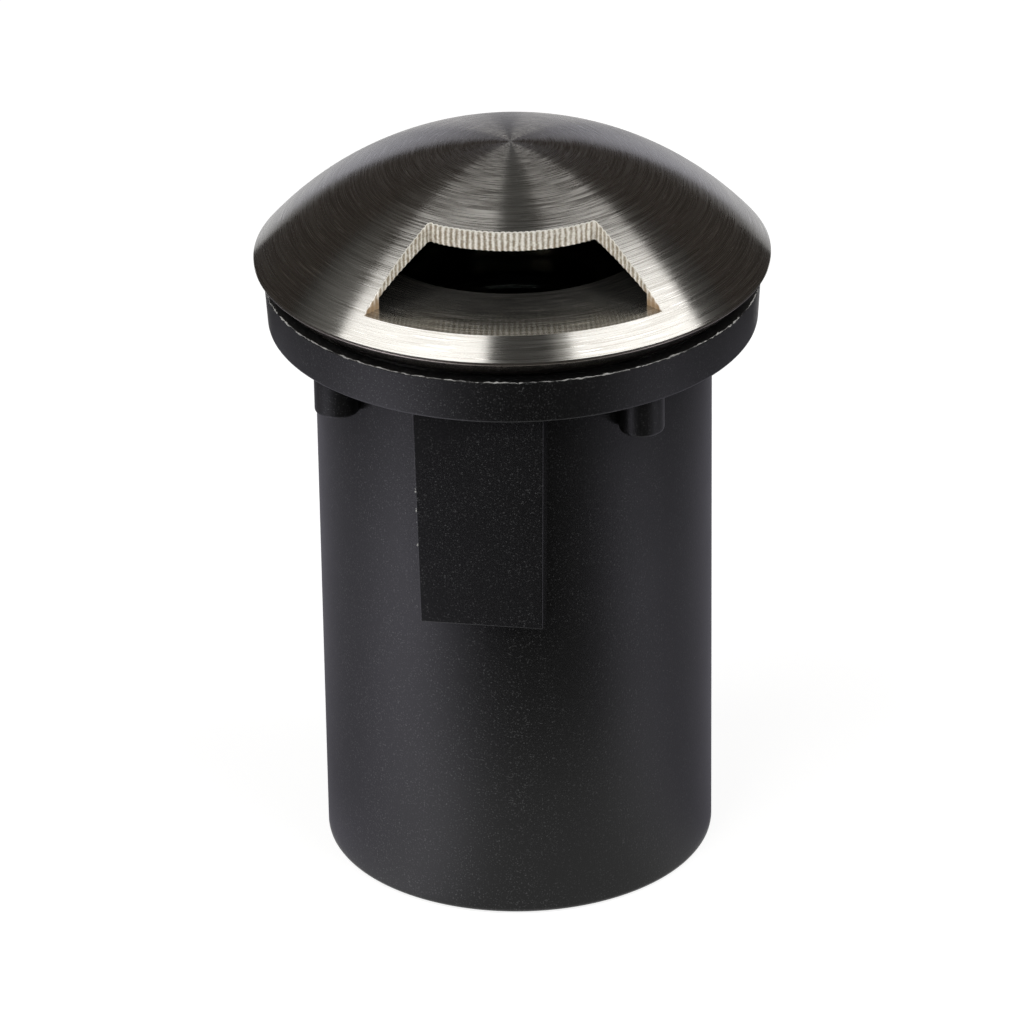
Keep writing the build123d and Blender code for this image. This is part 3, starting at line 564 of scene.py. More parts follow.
glass_finish, shader, place = new_finish("toughened_glass")
smear = place.noise(60.0, 3.0)
lay_on(
    shader,
    Base_Color=smear.between((0.80, 0.87, 0.84, 1.0), (0.86, 0.92, 0.89, 1.0)),
    Roughness=0.02 + 0.06 * smear.rise(0.5, 0.8),
    IOR=1.5,
    Transmission_Weight=1.0,
)
lens_mesh = bmesh.new()
lens_outline = [
    (0, GLASS_UNDER_Z), (GLASS_R - GROUND_EDGE, GLASS_UNDER_Z),
    (GLASS_R, GLASS_UNDER_Z + GROUND_EDGE), (GLASS_R, GLASS_TOP_Z - GROUND_EDGE),
    (GLASS_R - GROUND_EDGE, GLASS_TOP_Z), (0, GLASS_TOP_Z),
]
turn_on_lathe(lens_mesh, lens_outline)
fit(as_piece("glass_disc", lens_mesh, glass_finish), "canister", "glass", "lens")

# Clamp ring: cast aluminium, grey, turned where the head fits. Its lip holds the glass down, and
# the spigot with the rubber ring's groove carries the head. Four screws go through its flange.
CLAMP_BORE_R = 36.5
LENS_POCKET_R = 41.2
FLANGE_R = 49.5
FLANGE_UNDER_Z = 126.7
FLANGE_TOP_Z = 130.0
SPIGOT_R = 42.6
SPIGOT_TOP_Z = 140.0
GROOVE_R = 40.6
GROOVE_UNDER_Z = 136.0
GROOVE_TOP_Z = 138.6

cast_finish, shader, place = new_finish("cast_aluminium")
skin = place.noise(700.0, 3.0)
cloud = place.noise(55.0, 3.0)
lay_on(
    shader,
    Base_Color=cloud.between((0.30, 0.30, 0.31, 1.0), (0.46, 0.46, 0.47, 1.0)),
    Metallic=1.0,
    Roughness=0.38 + 0.22 * skin,
    Normal=skin.bump(0.2, 0.0001),
)
clamp_mesh = bmesh.new()
clamp_outline = rounded(
    [
        (LENS_POCKET_R, FLANGE_UNDER_Z, 0.1), (FLANGE_R, FLANGE_UNDER_Z, 0.3),
        (FLANGE_R, FLANGE_TOP_Z, 0.4), (SPIGOT_R, FLANGE_TOP_Z, 0.25),
        (SPIGOT_R, GROOVE_UNDER_Z, 0.15), (GROOVE_R, GROOVE_UNDER_Z, 0.1),
        (GROOVE_R, GROOVE_TOP_Z, 0.1), (SPIGOT_R, GROOVE_TOP_Z, 0.15),
        (SPIGOT_R, SPIGOT_TOP_Z, 0.2), (CLAMP_BORE_R, SPIGOT_TOP_Z, 0.4),
        (CLAMP_BORE_R, GLASS_TOP_Z, 0.2), (LENS_POCKET_R, GLASS_TOP_Z, 0.0),
    ]
)
turn_on_lathe(clamp_mesh, clamp_outline)
fit(as_piece("clamp_casting", clamp_mesh, cast_finish), "canister", "clamp_metal", "clamp_ring")

# Screws: stainless pan heads with a cross recess, each driven in at its own angle. The clamp
# screws go into the bosses, the smaller ones fix the bracket, the lampholder and the block.
HOLDER_X = 7.5
ANY_TURN = 6.28
NUT_TURN = 0.4

screw_finish, shader, place = new_finish("screw_steel")
wear = place.noise(800.0, 3.0)
lay_on(
    shader,
    Base_Color=wear.between((0.42, 0.41, 0.40, 1.0), (0.60, 0.59, 0.57, 1.0)),
    Metallic=1.0,
    Roughness=0.22 + 0.2 * wear,
    Normal=wear.bump(0.1, 0.00005),
)


def mill_out(made, cutter, crossing=False):
    """Cuts one piece out of another and merges the double points that the cut leaves."""
    cut = made.modifiers.new("cut", "BOOLEAN")
    cut.operation = "DIFFERENCE"
    cut.solver = "EXACT"
    cut.use_self = crossing
    cut.object = cutter
    settle(made)
    bpy.data.objects.remove(cutter)
    bm = bmesh.new()
    bm.from_mesh(made.data)
    bmesh.ops.remove_doubles(bm, verts=bm.verts, dist=0.001 * MM)
    bmesh.ops.dissolve_degenerate(bm, edges=bm.edges, dist=0.0005 * MM)
    bm.to_mesh(made.data)
    bm.free()


def pan_head_screw(name, head_r, head_h, shank_r, length):
    """One screw that stands on the origin, head up, with its cross recess cut in."""
    bm = bmesh.new()
    outline = [
        (0, -length, 0), (shank_r * 0.7, -length, 0), (shank_r, -length + shank_r * 0.5, 0),
        (shank_r, 0, 0), (head_r, 0, 0.1), (head_r, head_h * 0.55, head_h * 0.35),
        (head_r * 0.55, head_h, head_h * 0.3), (0, head_h, 0),
    ]
    turn_on_lathe(bm, rounded(outline), 40)
    screw = as_piece(name, bm)
    bm = bmesh.new()
    for bar_turn in (0.0, math.pi / 2):
        bar = bmesh.ops.create_cube(bm, size=1.0)["verts"]
        for vert in bar:
            taper = 1.0 if vert.co.z > 0 else 0.45
            size = Vector((1.1 * head_r * taper, 0.26 * head_r, head_h))
            shape = Vector((vert.co.x * size.x, vert.co.y * size.y, vert.co.z * size.z + head_h))
            vert.co = Matrix.Rotation(bar_turn, 3, "Z") @ shape * MM
    mill_out(screw, as_piece(name + "_recess", bm), crossing=True)
    screw.data.set_sharp_from_angle(angle=SHARP_ANGLE)
    return screw


fastener_tree, given = new_tree("fasteners", Fastener="Object", Turn="Float", Seed="Int")
model = add_node(fastener_tree, "GeometryNodeObjectInfo", {"Object": given["Fastener"]})
spin = add_node(
    fastener_tree, "FunctionNodeRandomValue", {3: given["Turn"], "Seed": given["Seed"]},
    data_type="FLOAT",
)
lean = add_node(fastener_tree, "ShaderNodeCombineXYZ", {"Z": spin.outputs[1]})
stood = add_node(
    fastener_tree, "GeometryNodeInstanceOnPoints",
    {
        "Points": given["Geometry"], "Instance": model.outputs["Geometry"],
        "Rotation": lean.outputs[0],
    },
)
end_tree(fastener_tree, stood.outputs[0], given["Finish"])


def fasten(node, pattern, spots, seed, turn=ANY_TURN):
    """Copies of one fastener at spots given in the canister's own axes. The pattern goes."""
    turned = [upright @ Vector(spot) for spot in spots]
    made = grow(
        node + "_set", fastener_tree, turned, Fastener=pattern, Turn=turn, Seed=seed,
        Finish=screw_finish,
    )
    bpy.data.objects.remove(pattern)
    return fit(made, "canister", "screw_steel", node)


boss_xy = BOSS_CIRCLE_R * math.sqrt(0.5)
boss_spots = [(x * boss_xy, y * boss_xy, FLANGE_TOP_Z) for x in (-1, 1) for y in (-1, 1)]
terminal_spots = [(BLOCK_X + x, y, 41.3) for x in (-3.5, 3.5) for y in (-5.0, 5.0)]
# Each row: the node, the head's radius and height, the shank's radius and length, spots and seed.
screw_rows = (
    ("clamp_screws", (3.0, 2.2, 1.65, 11.0), boss_spots, 3),
    ("bracket_screws", (2.75, 2.0, 1.5, 7.0), [(0, -BRACKET_Y, 35.5), (0, BRACKET_Y, 35.5)], 5),
    ("holder_screws", (2.75, 2.0, 1.5, 11.9), [(-HOLDER_X, 0, 75.3), (HOLDER_X, 0, 75.3)], 7),
    ("block_screw", (2.75, 2.0, 1.5, 18.5), [(BLOCK_X, 0, 47.0)], 9),
    ("terminal_screws", (1.25, 1.0, 1.0, 4.0), terminal_spots, 11),
)
for node, sizes, spots, seed in screw_rows:
    fasten(node, pan_head_screw(node + "_pattern", *sizes), spots, seed)

nut_mesh = bmesh.new()
nut_outline = rounded(
    [(1.55, -2.4, 0.2), (3.175, -2.4, 0.0), (3.175, 0.0, 0.0), (1.55, 0.0, 0.2)]
)
turn_on_lathe(nut_mesh, nut_outline, 6)
nut_spots = [(-HOLDER_X, 0, 66.3), (HOLDER_X, 0, 66.3)]
fasten("holder_nuts", as_piece("hex_nut", nut_mesh), nut_spots, 13, NUT_TURN)

# Lampholder and its wiring: a ceramic two-pin holder on a bent zinc-plated strip, two silicone
# leads, and a nylon terminal block with brass tubes, all screwed to the bulkhead.


def dress(node, finish):
    """Gives a CAD node its finish."""
    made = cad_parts[node]
    if not made.material_slots:
        made.data.materials.append(finish)
    for slot in made.material_slots:
        slot.material = finish


def mottled(name, dark, light, metallic, rough, scale):
    """A finish with soft changes of tone, gloss and grain, for the small pieces inside."""
    material, main, where = new_finish(name)
    tone = where.noise(scale, 4.0)
    fine = where.noise(scale * 9.0, 2.0)
    lay_on(
        main,
        Base_Color=(0.6 * tone + 0.4 * fine).rise(0.32, 0.68).between((*dark, 1), (*light, 1)),
        Metallic=metallic,
        Roughness=rough + 0.2 * tone,
        Normal=fine.bump(0.15, 0.0001),
    )
    return material


brass_finish = mottled("brass", (0.55, 0.38, 0.14), (0.72, 0.53, 0.24), 1.0, 0.22, 240.0)
dress("terminal_tubes", brass_finish)
# Each row: the node, the finish's name, its dark and light tone, metal, roughness and scale.
wiring_rows = (
    ("holder_bracket", "zinc_plate", (0.42, 0.43, 0.45), (0.62, 0.62, 0.61), 1.0, 0.25, 160.0),
    ("lampholder", "ceramic", (0.72, 0.69, 0.62), (0.80, 0.78, 0.72), 0.0, 0.35, 260.0),
    ("lead_left", "black_silicone", (0.012, 0.012, 0.012), (0.03, 0.03, 0.03), 0.0, 0.45, 300.0),
    ("lead_right", "red_silicone", (0.33, 0.02, 0.015), (0.45, 0.04, 0.03), 0.0, 0.45, 300.0),
    ("terminal_block", "terminal_nylon", (0.66, 0.66, 0.62), (0.76, 0.76, 0.72), 0.0, 0.40, 200.0),
)
for node, *look in wiring_rows:
    dress(node, mottled(*look))

# Cable gland: black nylon body through the bulkhead with a washer, a locknut, a rubber seal and a
# ribbed cap nut that squeezes the seal on the cable.
CABLE_R = 3.5
SEAL_R = 6.4
SEAL_FOOT_Z = 11.9
SEAL_TOP_Z = 19.9
CAP_HOLE_R = 4.4
CAP_BORE_R = 8.1
CAP_R = 10.35
CAP_BOTTOM_Z = 9.4
CAP_TOP_Z = 20.4
RIB_MIDDLE_Z = 15.6

gland_finish = mottled(
    "gland_nylon", (0.014, 0.014, 0.015), (0.035, 0.035, 0.036), 0.0, 0.38, 220.0
)
for node in ("gland_body", "gland_locknut"):
    dress(node, gland_finish)
dress("gland_washer", rubber_finish)
seal_mesh = bmesh.new()
seal_outline = rounded(
    [
        (CABLE_R, SEAL_FOOT_Z, 0.4), (SEAL_R, SEAL_FOOT_Z, 0.0), (SEAL_R, SEAL_TOP_Z, 0.0),
        (CABLE_R, SEAL_TOP_Z, 0.3),
    ]
)
turn_on_lathe(seal_mesh, seal_outline, 96)
fit(as_piece("gland_sleeve", seal_mesh, rubber_finish), "canister", "rubber", "gland_seal")
cap_mesh = bmesh.new()
cap_outline = rounded(
    [
        (CAP_HOLE_R, CAP_BOTTOM_Z, 0.3), (CAP_R, CAP_BOTTOM_Z, 1.9), (CAP_R, CAP_TOP_Z, 0.4),
        (CAP_BORE_R, CAP_TOP_Z, 0.2), (CAP_BORE_R, SEAL_FOOT_Z, 0.0),
        (CAP_HOLE_R, SEAL_FOOT_Z, 0.0),
    ]
)
turn_on_lathe(cap_mesh, cap_outline, 96)
cap = as_piece("gland_cap_nut", cap_mesh, gland_finish)
fit(cap, "canister", "gland_nylon", "gland_cap")

rib_tree, given = new_tree(
    "grip_ribs", Radius="Float", Count="Int", Height="Float", Width="Float", Depth="Float"
)
circle = add_node(
    rib_tree, "GeometryNodeMeshCircle", {"Vertices": given["Count"], "Radius": given["Radius"]}
)
spot = add_node(rib_tree, "GeometryNodeInputPosition")
facing = add_node(
    rib_tree, "FunctionNodeAlignEulerToVector", {"Vector": spot.outputs[0]}, axis="X"
)
size = add_node(
    rib_tree, "ShaderNodeCombineXYZ",
    {"X": given["Depth"], "Y": given["Width"], "Z": given["Height"]},
)
rib = add_node(rib_tree, "GeometryNodeMeshCube", {"Size": size.outputs[0]})
stood = add_node(
    rib_tree, "GeometryNodeInstanceOnPoints",
    {"Points": circle.outputs[0], "Instance": rib.outputs["Mesh"], "Rotation": facing.outputs[0]},
)
end_tree(rib_tree, stood.outputs[0], given["Finish"])
ribs = grow(
    "gland_cap_ribs", rib_tree, [(0, 0, 0)], Radius=10.3 * MM, Count=36, Height=7.6 * MM,
    Width=0.8 * MM, Depth=0.9 * MM, Finish=gland_finish,
)
ribs.data.transform(Matrix.Translation((0, 0, RIB_MIDDLE_Z * MM)))
fit(ribs, "canister", "gland_nylon")

# Lamp: a finned aluminium body with a board of four chips behind a front lens, on a two-pin
# plastic base, pushed into the holder.
lamp_rows = (
    ("lamp_housing", "lamp_metal", (0.020, 0.020, 0.022), (0.034, 0.034, 0.036), 0.4, 0.42, 140.0),
    ("lamp_board", "board_mask", (0.016, 0.017, 0.018), (0.026, 0.027, 0.028), 0.0, 0.40, 180.0),
    ("lamp_leds", "chip_phosphor", (0.72, 0.55, 0.12), (0.82, 0.66, 0.20), 0.0, 0.50, 900.0),
    ("lamp_base", "lamp_plastic", (0.62, 0.62, 0.60), (0.72, 0.72, 0.70), 0.0, 0.42, 200.0),
)
for node, *look in lamp_rows:
    dress(node, mottled(*look))
dress("lamp_pins", brass_finish)
front_finish, shader, place = new_finish("lamp_front_glass")
from_axis = place.node("VectorMath", {0: place, 1: (1.0, 1.0, 0.0)}, operation="MULTIPLY")
away = from_axis.node("VectorMath", {0: from_axis}, out=1, operation="LENGTH")
ripples = place.sum_up("SINE", away * 5000.0)
lay_on(
    shader,
    Base_Color=place.noise(90.0).between((0.84, 0.86, 0.86, 1.0), (0.90, 0.91, 0.91, 1.0)),
    Roughness=0.05 + 0.1 * place.noise(200.0),
    Transmission_Weight=1.0,
    IOR=1.49,
    Normal=ripples.bump(0.25, 0.0002),
)
dress("lamp_lens", front_finish)

# Floor plate: a turned steel ring pressed into the dome's pocket, brushed in circles like the
# dome, with the light's hole in its middle and the skirt that fits over the spigot.
FLOOR_Z = 143.0
FLOOR_R = 46.198
HOLE_R = 30.8
SKIRT_BORE_R = 42.95
SKIRT_R = 45.35
SKIRT_BOTTOM_Z = 134.4


def brushed(name, dark, light, rough, sway, relief, metal, specks, pitch):
    """Steel brushed in circles about the light's axis, with streaks that follow the brush."""
    material, main, where = new_finish(name)
    x = where.axis(0)
    y = where.axis(1)
    radius = (x * x + y * y + 1e-9) ** 0.5

    def streaks(across, round_axis, detail):
        """Noise that changes fast across the brush marks and slowly along them."""
        along_x = x / radius * round_axis
        along_y = y / radius * round_axis
        drawn = where.node("CombineXYZ", {0: radius * across, 1: along_x, 2: along_y})
        return drawn.noise(1.0, detail)

    scratch = streaks(1.15 * pitch, 5.0, 1.0)
    streak = 0.90 * streaks(pitch, 2.2, 1.5) + 0.10 * streaks(1100.0, 2.0, 2.0)
    tone = (0.55 * streak.rise(0.30, 0.70) + 0.60 * scratch.rise(0.60, 0.74)).between(dark, light)
    dust_mark = where.noise(1900.0, 0.0).rise(0.80, 0.84) * specks
    lay_on(
        main,
        Base_Color=dust_mark.between(tone, (0.55, 0.50, 0.42, 1.0)),
        Metallic=metal,
        Roughness=rough + sway * (streak - 0.5),
        Anisotropic=1.0,
        Anisotropic_Rotation=0.25,
        Normal=streak.bump(relief, 0.00005),
    )
    return material


floor_finish = brushed(
    "floor_steel", (0.24, 0.235, 0.215, 1), (1.0, 0.98, 0.92, 1), rough=0.142, sway=0.14,
    relief=0.04, metal=0.966, specks=0.9, pitch=4200.0,
)
floor_mesh = bmesh.new()
floor_outline = rounded(
    [
        (HOLE_R, SPIGOT_TOP_Z, 0.15), (SKIRT_BORE_R, SPIGOT_TOP_Z, 0.15),
        (SKIRT_BORE_R, SKIRT_BOTTOM_Z, 0.2), (SKIRT_R, SKIRT_BOTTOM_Z, 0.2),
        (SKIRT_R, SPIGOT_TOP_Z, 0.15), (FLOOR_R, SPIGOT_TOP_Z, 0.1), (FLOOR_R, FLOOR_Z, 0.0),
        (HOLE_R, FLOOR_Z, 0.15),
    ]
)
turn_on_lathe(floor_mesh, floor_outline, 256)
fit(as_piece("window_floor", floor_mesh, floor_finish), "head", "dome_steel", "floor_plate")

# Dome cover: solid stainless steel, turned and brushed in circles. The window is milled out of
# its front, and the cutter leaves upright flutes on the window's walls.
RIM_R = 55.0
RIM_Z = 138.7
DOME_H = 25.2
SPHERE_R = (RIM_R**2 + DOME_H**2) / (2 * DOME_H)
SPHERE_Z = RIM_Z + DOME_H - SPHERE_R
POCKET_R = 46.2
ROOF_H = 12.7
ROOF_TOP_Z = 158.1
ROOF_R = (POCKET_R**2 + ROOF_H**2) / (2 * ROOF_H)
ROOF_Z = ROOF_TOP_Z - ROOF_R
UNDER_R = 51.0
UNDER_Z = 134.2
SKIN_STEPS = 90
ROOF_STEPS = 24
WINDOW_R = 30.8
WINDOW_HALF = math.radians(42.0)
WINDOW_POINT = 6.3
POINT_OUT = WINDOW_POINT * math.sin(WINDOW_HALF)
POINT_AHEAD = WINDOW_POINT * math.cos(WINDOW_HALF)
WALL_IN = math.sqrt(WINDOW_R**2 - POINT_OUT**2) - POINT_AHEAD
BACK_HALF = math.asin(WALL_IN * math.sin(WINDOW_HALF) / WINDOW_R)
BACK_FLUTES = 30
FLUTE = 2 * BACK_HALF * WINDOW_R / BACK_FLUTES
FLUTE_STEPS = 6
FLUTE_DEPTH = (0.12, 0.24)
CUTTER_TOP_Z = 175.0
CUTTER_OUT = 60.0
CUTTER_AHEAD = 80.0

dome_finish = brushed(
    "brushed_steel", (0.32, 0.31, 0.29, 1), (0.78, 0.765, 0.74, 1), rough=0.273, sway=0.31,
    relief=0.10, metal=1.0, specks=0.25, pitch=4600.0,
)

# The walls' pale and dark stripes are painted light and shade, in step with the flutes, which
# start where side and back walls meet.
milled_finish, shader, place = new_finish("milled_wall")
grit = place.noise(2600.0, 3.0)
uneven = place.noise(900.0, 2.0)
x = place.axis(0)
y = place.axis(1)
z = place.axis(2)
on_side = ((x * x + y * y) ** 0.5).rise(0.0309, 0.0310)
from_point = y + WINDOW_POINT * MM
up_side = (x * x + from_point * from_point) ** 0.5 - WALL_IN * MM
round_back = place.sum_up("ARCTAN2", x, -1.0 * y) * (WINDOW_R * MM) + BACK_HALF * WINDOW_R * MM
flute = on_side * up_side + (1.0 - on_side) * round_back
# Painted light and shade of the flutes: pale where a flute would catch the light, dark between.
wave = flute * (2 * math.pi / (FLUTE * MM)) + 2.4 * place.noise(420.0, 1.0)
painted_flute_shading = 0.5 + 0.5 * place.sum_up("COSINE", wave)
steel = (0.95 * painted_flute_shading + 1.5 * (grit - 0.5) + 1.1 * (uneven - 0.5) + 0.04).between(
    (0.33, 0.275, 0.20, 1), (1.0, 0.97, 0.90, 1)
)
# Painted shade: the walls darken to brown towards the floor, in the corner where they meet it.
painted_corner_shade = 1.0 - z.rise(0.1434, 0.1475)
steel_with_corner_shade = (0.9 * painted_corner_shade).between(steel, (0.32, 0.205, 0.105, 1))
# Painted highlight: a thin bright line along the walls' top edge, where they meet the dome's skin.
up = z - SPHERE_Z * MM
from_ball = (x * x + y * y + up * up) ** 0.5
edge = from_ball.rise((SPHERE_R - 0.45) * MM, (SPHERE_R - 0.12) * MM)
lay_on(
    shader,
    Base_Color=(0.8 * edge).between(steel_with_corner_shade, (1.0, 0.98, 0.93, 1)),
    Metallic=0.12,
    Roughness=0.38 + 0.25 * grit,
    Normal=grit.bump(0.5, 0.00015),
)

polished_finish, shader, place = new_finish("turned_steel")
lathe_mark = place.noise(500.0, 2.0)
lay_on(
    shader,
    Base_Color=lathe_mark.between((0.40, 0.36, 0.31, 1.0), (0.56, 0.51, 0.45, 1.0)),
    Metallic=1.0,
    Roughness=0.15 + 0.09 * lathe_mark,
    Normal=lathe_mark.bump(0.08, 0.00005),
)

dome_outline = rounded(
    [
        (POCKET_R, ROOF_TOP_Z - ROOF_H, 0), (POCKET_R, UNDER_Z, 0.2), (UNDER_R, UNDER_Z, 0.35),
        (RIM_R, RIM_Z - 0.6, 0.2), (RIM_R, RIM_Z - 0.05, 0),
    ]
)[1:]
rim_angle = math.asin(RIM_R / SPHERE_R)
for step in range(SKIN_STEPS + 1):
    lean_angle = rim_angle * (1 - step / SKIN_STEPS)
    height = SPHERE_Z + SPHERE_R * math.cos(lean_angle)
    dome_outline.append(Vector((SPHERE_R * math.sin(lean_angle), height)))
for step in range(ROOF_STEPS + 1):
    lean_angle = math.asin(POCKET_R / ROOF_R) * step / ROOF_STEPS
    height = ROOF_Z + ROOF_R * math.cos(lean_angle)
    dome_outline.append(Vector((ROOF_R * math.sin(lean_angle), height)))
dome_mesh = bmesh.new()
turn_on_lathe(dome_mesh, dome_outline, 360)
dome = as_piece(
    "dome_shell", dome_mesh, dome_finish, milled_finish, polished_finish, floor_finish
)


def scallop(deep, step):
    """How deep a flute is at one of its steps."""
    return deep * (1 - (2 * step / FLUTE_STEPS - 1) ** 2)


chance = random.Random(12)
walls = {}
for side in (-1, 1):
    walls[side] = []
    along = WALL_IN
    while along < RIM_R:
        deep = chance.uniform(*FLUTE_DEPTH)
        for step in range(FLUTE_STEPS):
            reach = along + FLUTE * step / FLUTE_STEPS
            dip = scallop(deep, step)
            out = reach * math.sin(WINDOW_HALF) + dip * math.cos(WINDOW_HALF)
            ahead = WINDOW_POINT + reach * math.cos(WINDOW_HALF) - dip * math.sin(WINDOW_HALF)
            walls[side].append((side * out, -ahead))
        along += FLUTE
    walls[side].append((side * CUTTER_OUT, -CUTTER_AHEAD))
back_wall = []
for number in range(BACK_FLUTES):
    deep = chance.uniform(*FLUTE_DEPTH)
    for step in range(FLUTE_STEPS):
        reach = WINDOW_R - scallop(deep, step)
        angle = (number + step / FLUTE_STEPS) * FLUTE / WINDOW_R - BACK_HALF
        back_wall.append((reach * math.sin(angle), -reach * math.cos(angle)))
window_outline = walls[-1][:0:-1] + back_wall + walls[1]

cutter_mesh = bmesh.new()
cutter_rings = []
for height in (FLOOR_Z, CUTTER_TOP_Z):
    ring = [cutter_mesh.verts.new((x * MM, y * MM, height * MM)) for x, y in window_outline]
    cutter_rings.append(ring)
close_between(cutter_mesh, cutter_rings)
mill_out(dome, as_piece("window_cutter", cutter_mesh))

# The window's faces get the milled finish, and the dome's skin its true round shading.
ON_SKIN, ON_WALL, ON_UNDERSIDE, ON_FLOOR = range(4)
dome_skin = dome.data
dome_skin.set_sharp_from_angle(angle=math.radians(28))
ball = Vector((0, 0, SPHERE_Z * MM))
for face in dome_skin.polygons:
    middle = face.center / MM
    outward = face.center - ball
    off_skin = abs(outward.length - SPHERE_R * MM)
    in_window = middle.y < -20 and abs(middle.x) < 36 and middle.z > FLOOR_Z - 0.01
    if off_skin < 0.05 * MM and face.normal.dot(outward.normalized()) > 0.97:
        face.material_index = ON_SKIN
    elif in_window and abs(face.normal.z) < 0.3 and middle.xy.length > 30.0:
        face.material_index = ON_WALL
    elif in_window and abs(middle.z - FLOOR_Z) < 0.02:
        face.material_index = ON_FLOOR
    else:
        face.material_index = ON_UNDERSIDE
shading = [Vector(corner.vector) for corner in dome_skin.corner_normals]
for face in dome_skin.polygons:
    if face.material_index == ON_SKIN:
        for loop in face.loop_indices:
            outward = dome_skin.vertices[dome_skin.loops[loop].vertex_index].co - ball
            if abs(outward.length - SPHERE_R * MM) < 0.03 * MM:
                shading[loop] = outward.normalized()
dome_skin.normals_split_custom_set(shading)
fit(dome, "head", "dome_steel", "dome_cover")

# Studio: a pale floor, two soft panels above the sides, and a dark room with a backdrop and soft
# cards that only reflections show. The camera stands at the photograph's angle.
FLOOR_DROP = 0.0002
AIM = Vector((0, 0, 0.12))
PANEL_REACH = 1.5
FADE_REACH = 1.55
BACKDROP_REACH = 2.4
ROOM_R = 3.2
WHITE = (1.0, 1.0, 1.0, 1.0)


def bare_tree(owner):
    """The empty node tree of a material or a world."""
    owner.use_nodes = True
    owner.node_tree.nodes.clear()
    return owner.node_tree


def plainly_seen(tree):
    """1 for what is seen straight, in a mirror or through glass, and 0 for light that spreads."""
    kinds = tree.nodes.new("ShaderNodeLightPath").outputs
    straight = Tone(tree, kinds["Is Camera Ray"])
    mirrored = Tone(tree, kinds["Is Glossy Ray"])
    through = Tone(tree, kinds["Is Transmission Ray"])
    return straight.sum_up("MINIMUM", straight + mirrored + through, 1.0)


floor_paint = bpy.data.materials.new("studio_floor")
seen = plainly_seen(bare_tree(floor_paint))
cover = seen.node("BsdfDiffuse", {"Color": (0.30, 0.30, 0.30, 1.0)})
glow = seen.node("Emission", {"Color": WHITE, "Strength": 0.80 * seen})
seen.node("OutputMaterial", {"Surface": seen.node("AddShader", {0: cover, 1: glow})})
floor_stage = bmesh.new()
bmesh.ops.create_grid(floor_stage, x_segments=2, y_segments=2, size=4.0)
floor_stage_piece = as_piece("studio_floor", floor_stage, floor_paint)
floor_stage_piece.data.transform(Matrix.Translation((0, 0, -FLOOR_DROP)))


def glowing(name, colour, strength):
    """An even glow for a panel or a dark card."""
    material = bpy.data.materials.new(name)
    tree = bare_tree(material)
    glow = tree.nodes.new("ShaderNodeEmission")
    glow.inputs["Color"].default_value = colour
    glow.inputs["Strength"].default_value = strength
    tree.links.new(glow.outputs[0], tree.nodes.new("ShaderNodeOutputMaterial").inputs["Surface"])
    return material


def direction(azimuth, height):
    """A unit vector from the front's azimuth and the height above the horizon, in degrees."""
    a = math.radians(azimuth)
    e = math.radians(height)
    return Vector((math.cos(e) * math.sin(a), -math.cos(e) * math.cos(a), math.sin(e)))


def hide_from(made, *rays):
    """Leaves a piece of the studio out of some kinds of ray."""
    for kind in rays:
        setattr(made, "visible_" + kind, False)


panel_glow = glowing("panel_light", (1.0, 0.99, 0.97, 1.0), 3.15)
panels = {
    "left_panel": [(-11.0, 26.8), (-26.2, 74.7), (-97.7, 47.7), (-76, 12)],
    "right_panel": [(25.2, 25.3), (42.8, 67.3), (110.2, 48.0), (83.2, 15)],
}
for name, corners in panels.items():
    panel_mesh = bmesh.new()
    verts = [panel_mesh.verts.new(AIM + PANEL_REACH * direction(*corner)) for corner in corners]
    panel_mesh.faces.new(verts)
    panel = as_piece(name, panel_mesh, panel_glow)
    hide_from(panel, "camera", "shadow", "transmission")

room_mesh = bmesh.new()
bmesh.ops.create_uvsphere(room_mesh, u_segments=48, v_segments=24, radius=ROOM_R)
below = [vert for vert in room_mesh.verts if vert.co.z < -0.3]
bmesh.ops.delete(room_mesh, geom=below, context="VERTS")
room = as_piece("dark_room", room_mesh, glowing("dark_card", (1.0, 0.86, 0.75, 1.0), 0.054))
hide_from(room, "camera", "diffuse", "shadow", "transmission")

backdrop_mesh = bmesh.new()
corners = [(151.9, -3), (205.2, -3), (195.0, 13.0), (184.0, 18.5), (176.0, 18.5), (165.0, 13.0)]
verts = [backdrop_mesh.verts.new(AIM + BACKDROP_REACH * direction(*corner)) for corner in corners]
backdrop_mesh.faces.new(verts)
backdrop_glow = glowing("backdrop_white", (0.95, 0.955, 1.08, 1.0), 0.65)
backdrop = as_piece("white_backdrop", backdrop_mesh, backdrop_glow)

# What the floor shows in reflections, ring by ring. Behind the light the far ring is left open.
SHEEN_R = 250.0
SHEEN_STEP = 5
SHEEN_RISE = 0.0005
BACK_OPEN = 150
BACK_OPEN_LEFT = 154
RINGS = [43.0, 60.0, 80.0, 100.0, 106.0, 110.0, 114.0, 118.0, 122.0, 150.0, 185.0, 220.0, SHEEN_R]
FAR_RINGS = [250.5, 3000.0]


def ease(value, low, high):
    """A smooth rise from 0 to 1 between two values."""
    share = min(max((value - low) / (high - low), 0.0), 1.0)
    return share * share * (3 - 2 * share)


def bell(value, middle, width):
    """A soft hump that is 1 at its middle."""
    return math.exp(-(((value - middle) / width) ** 2))


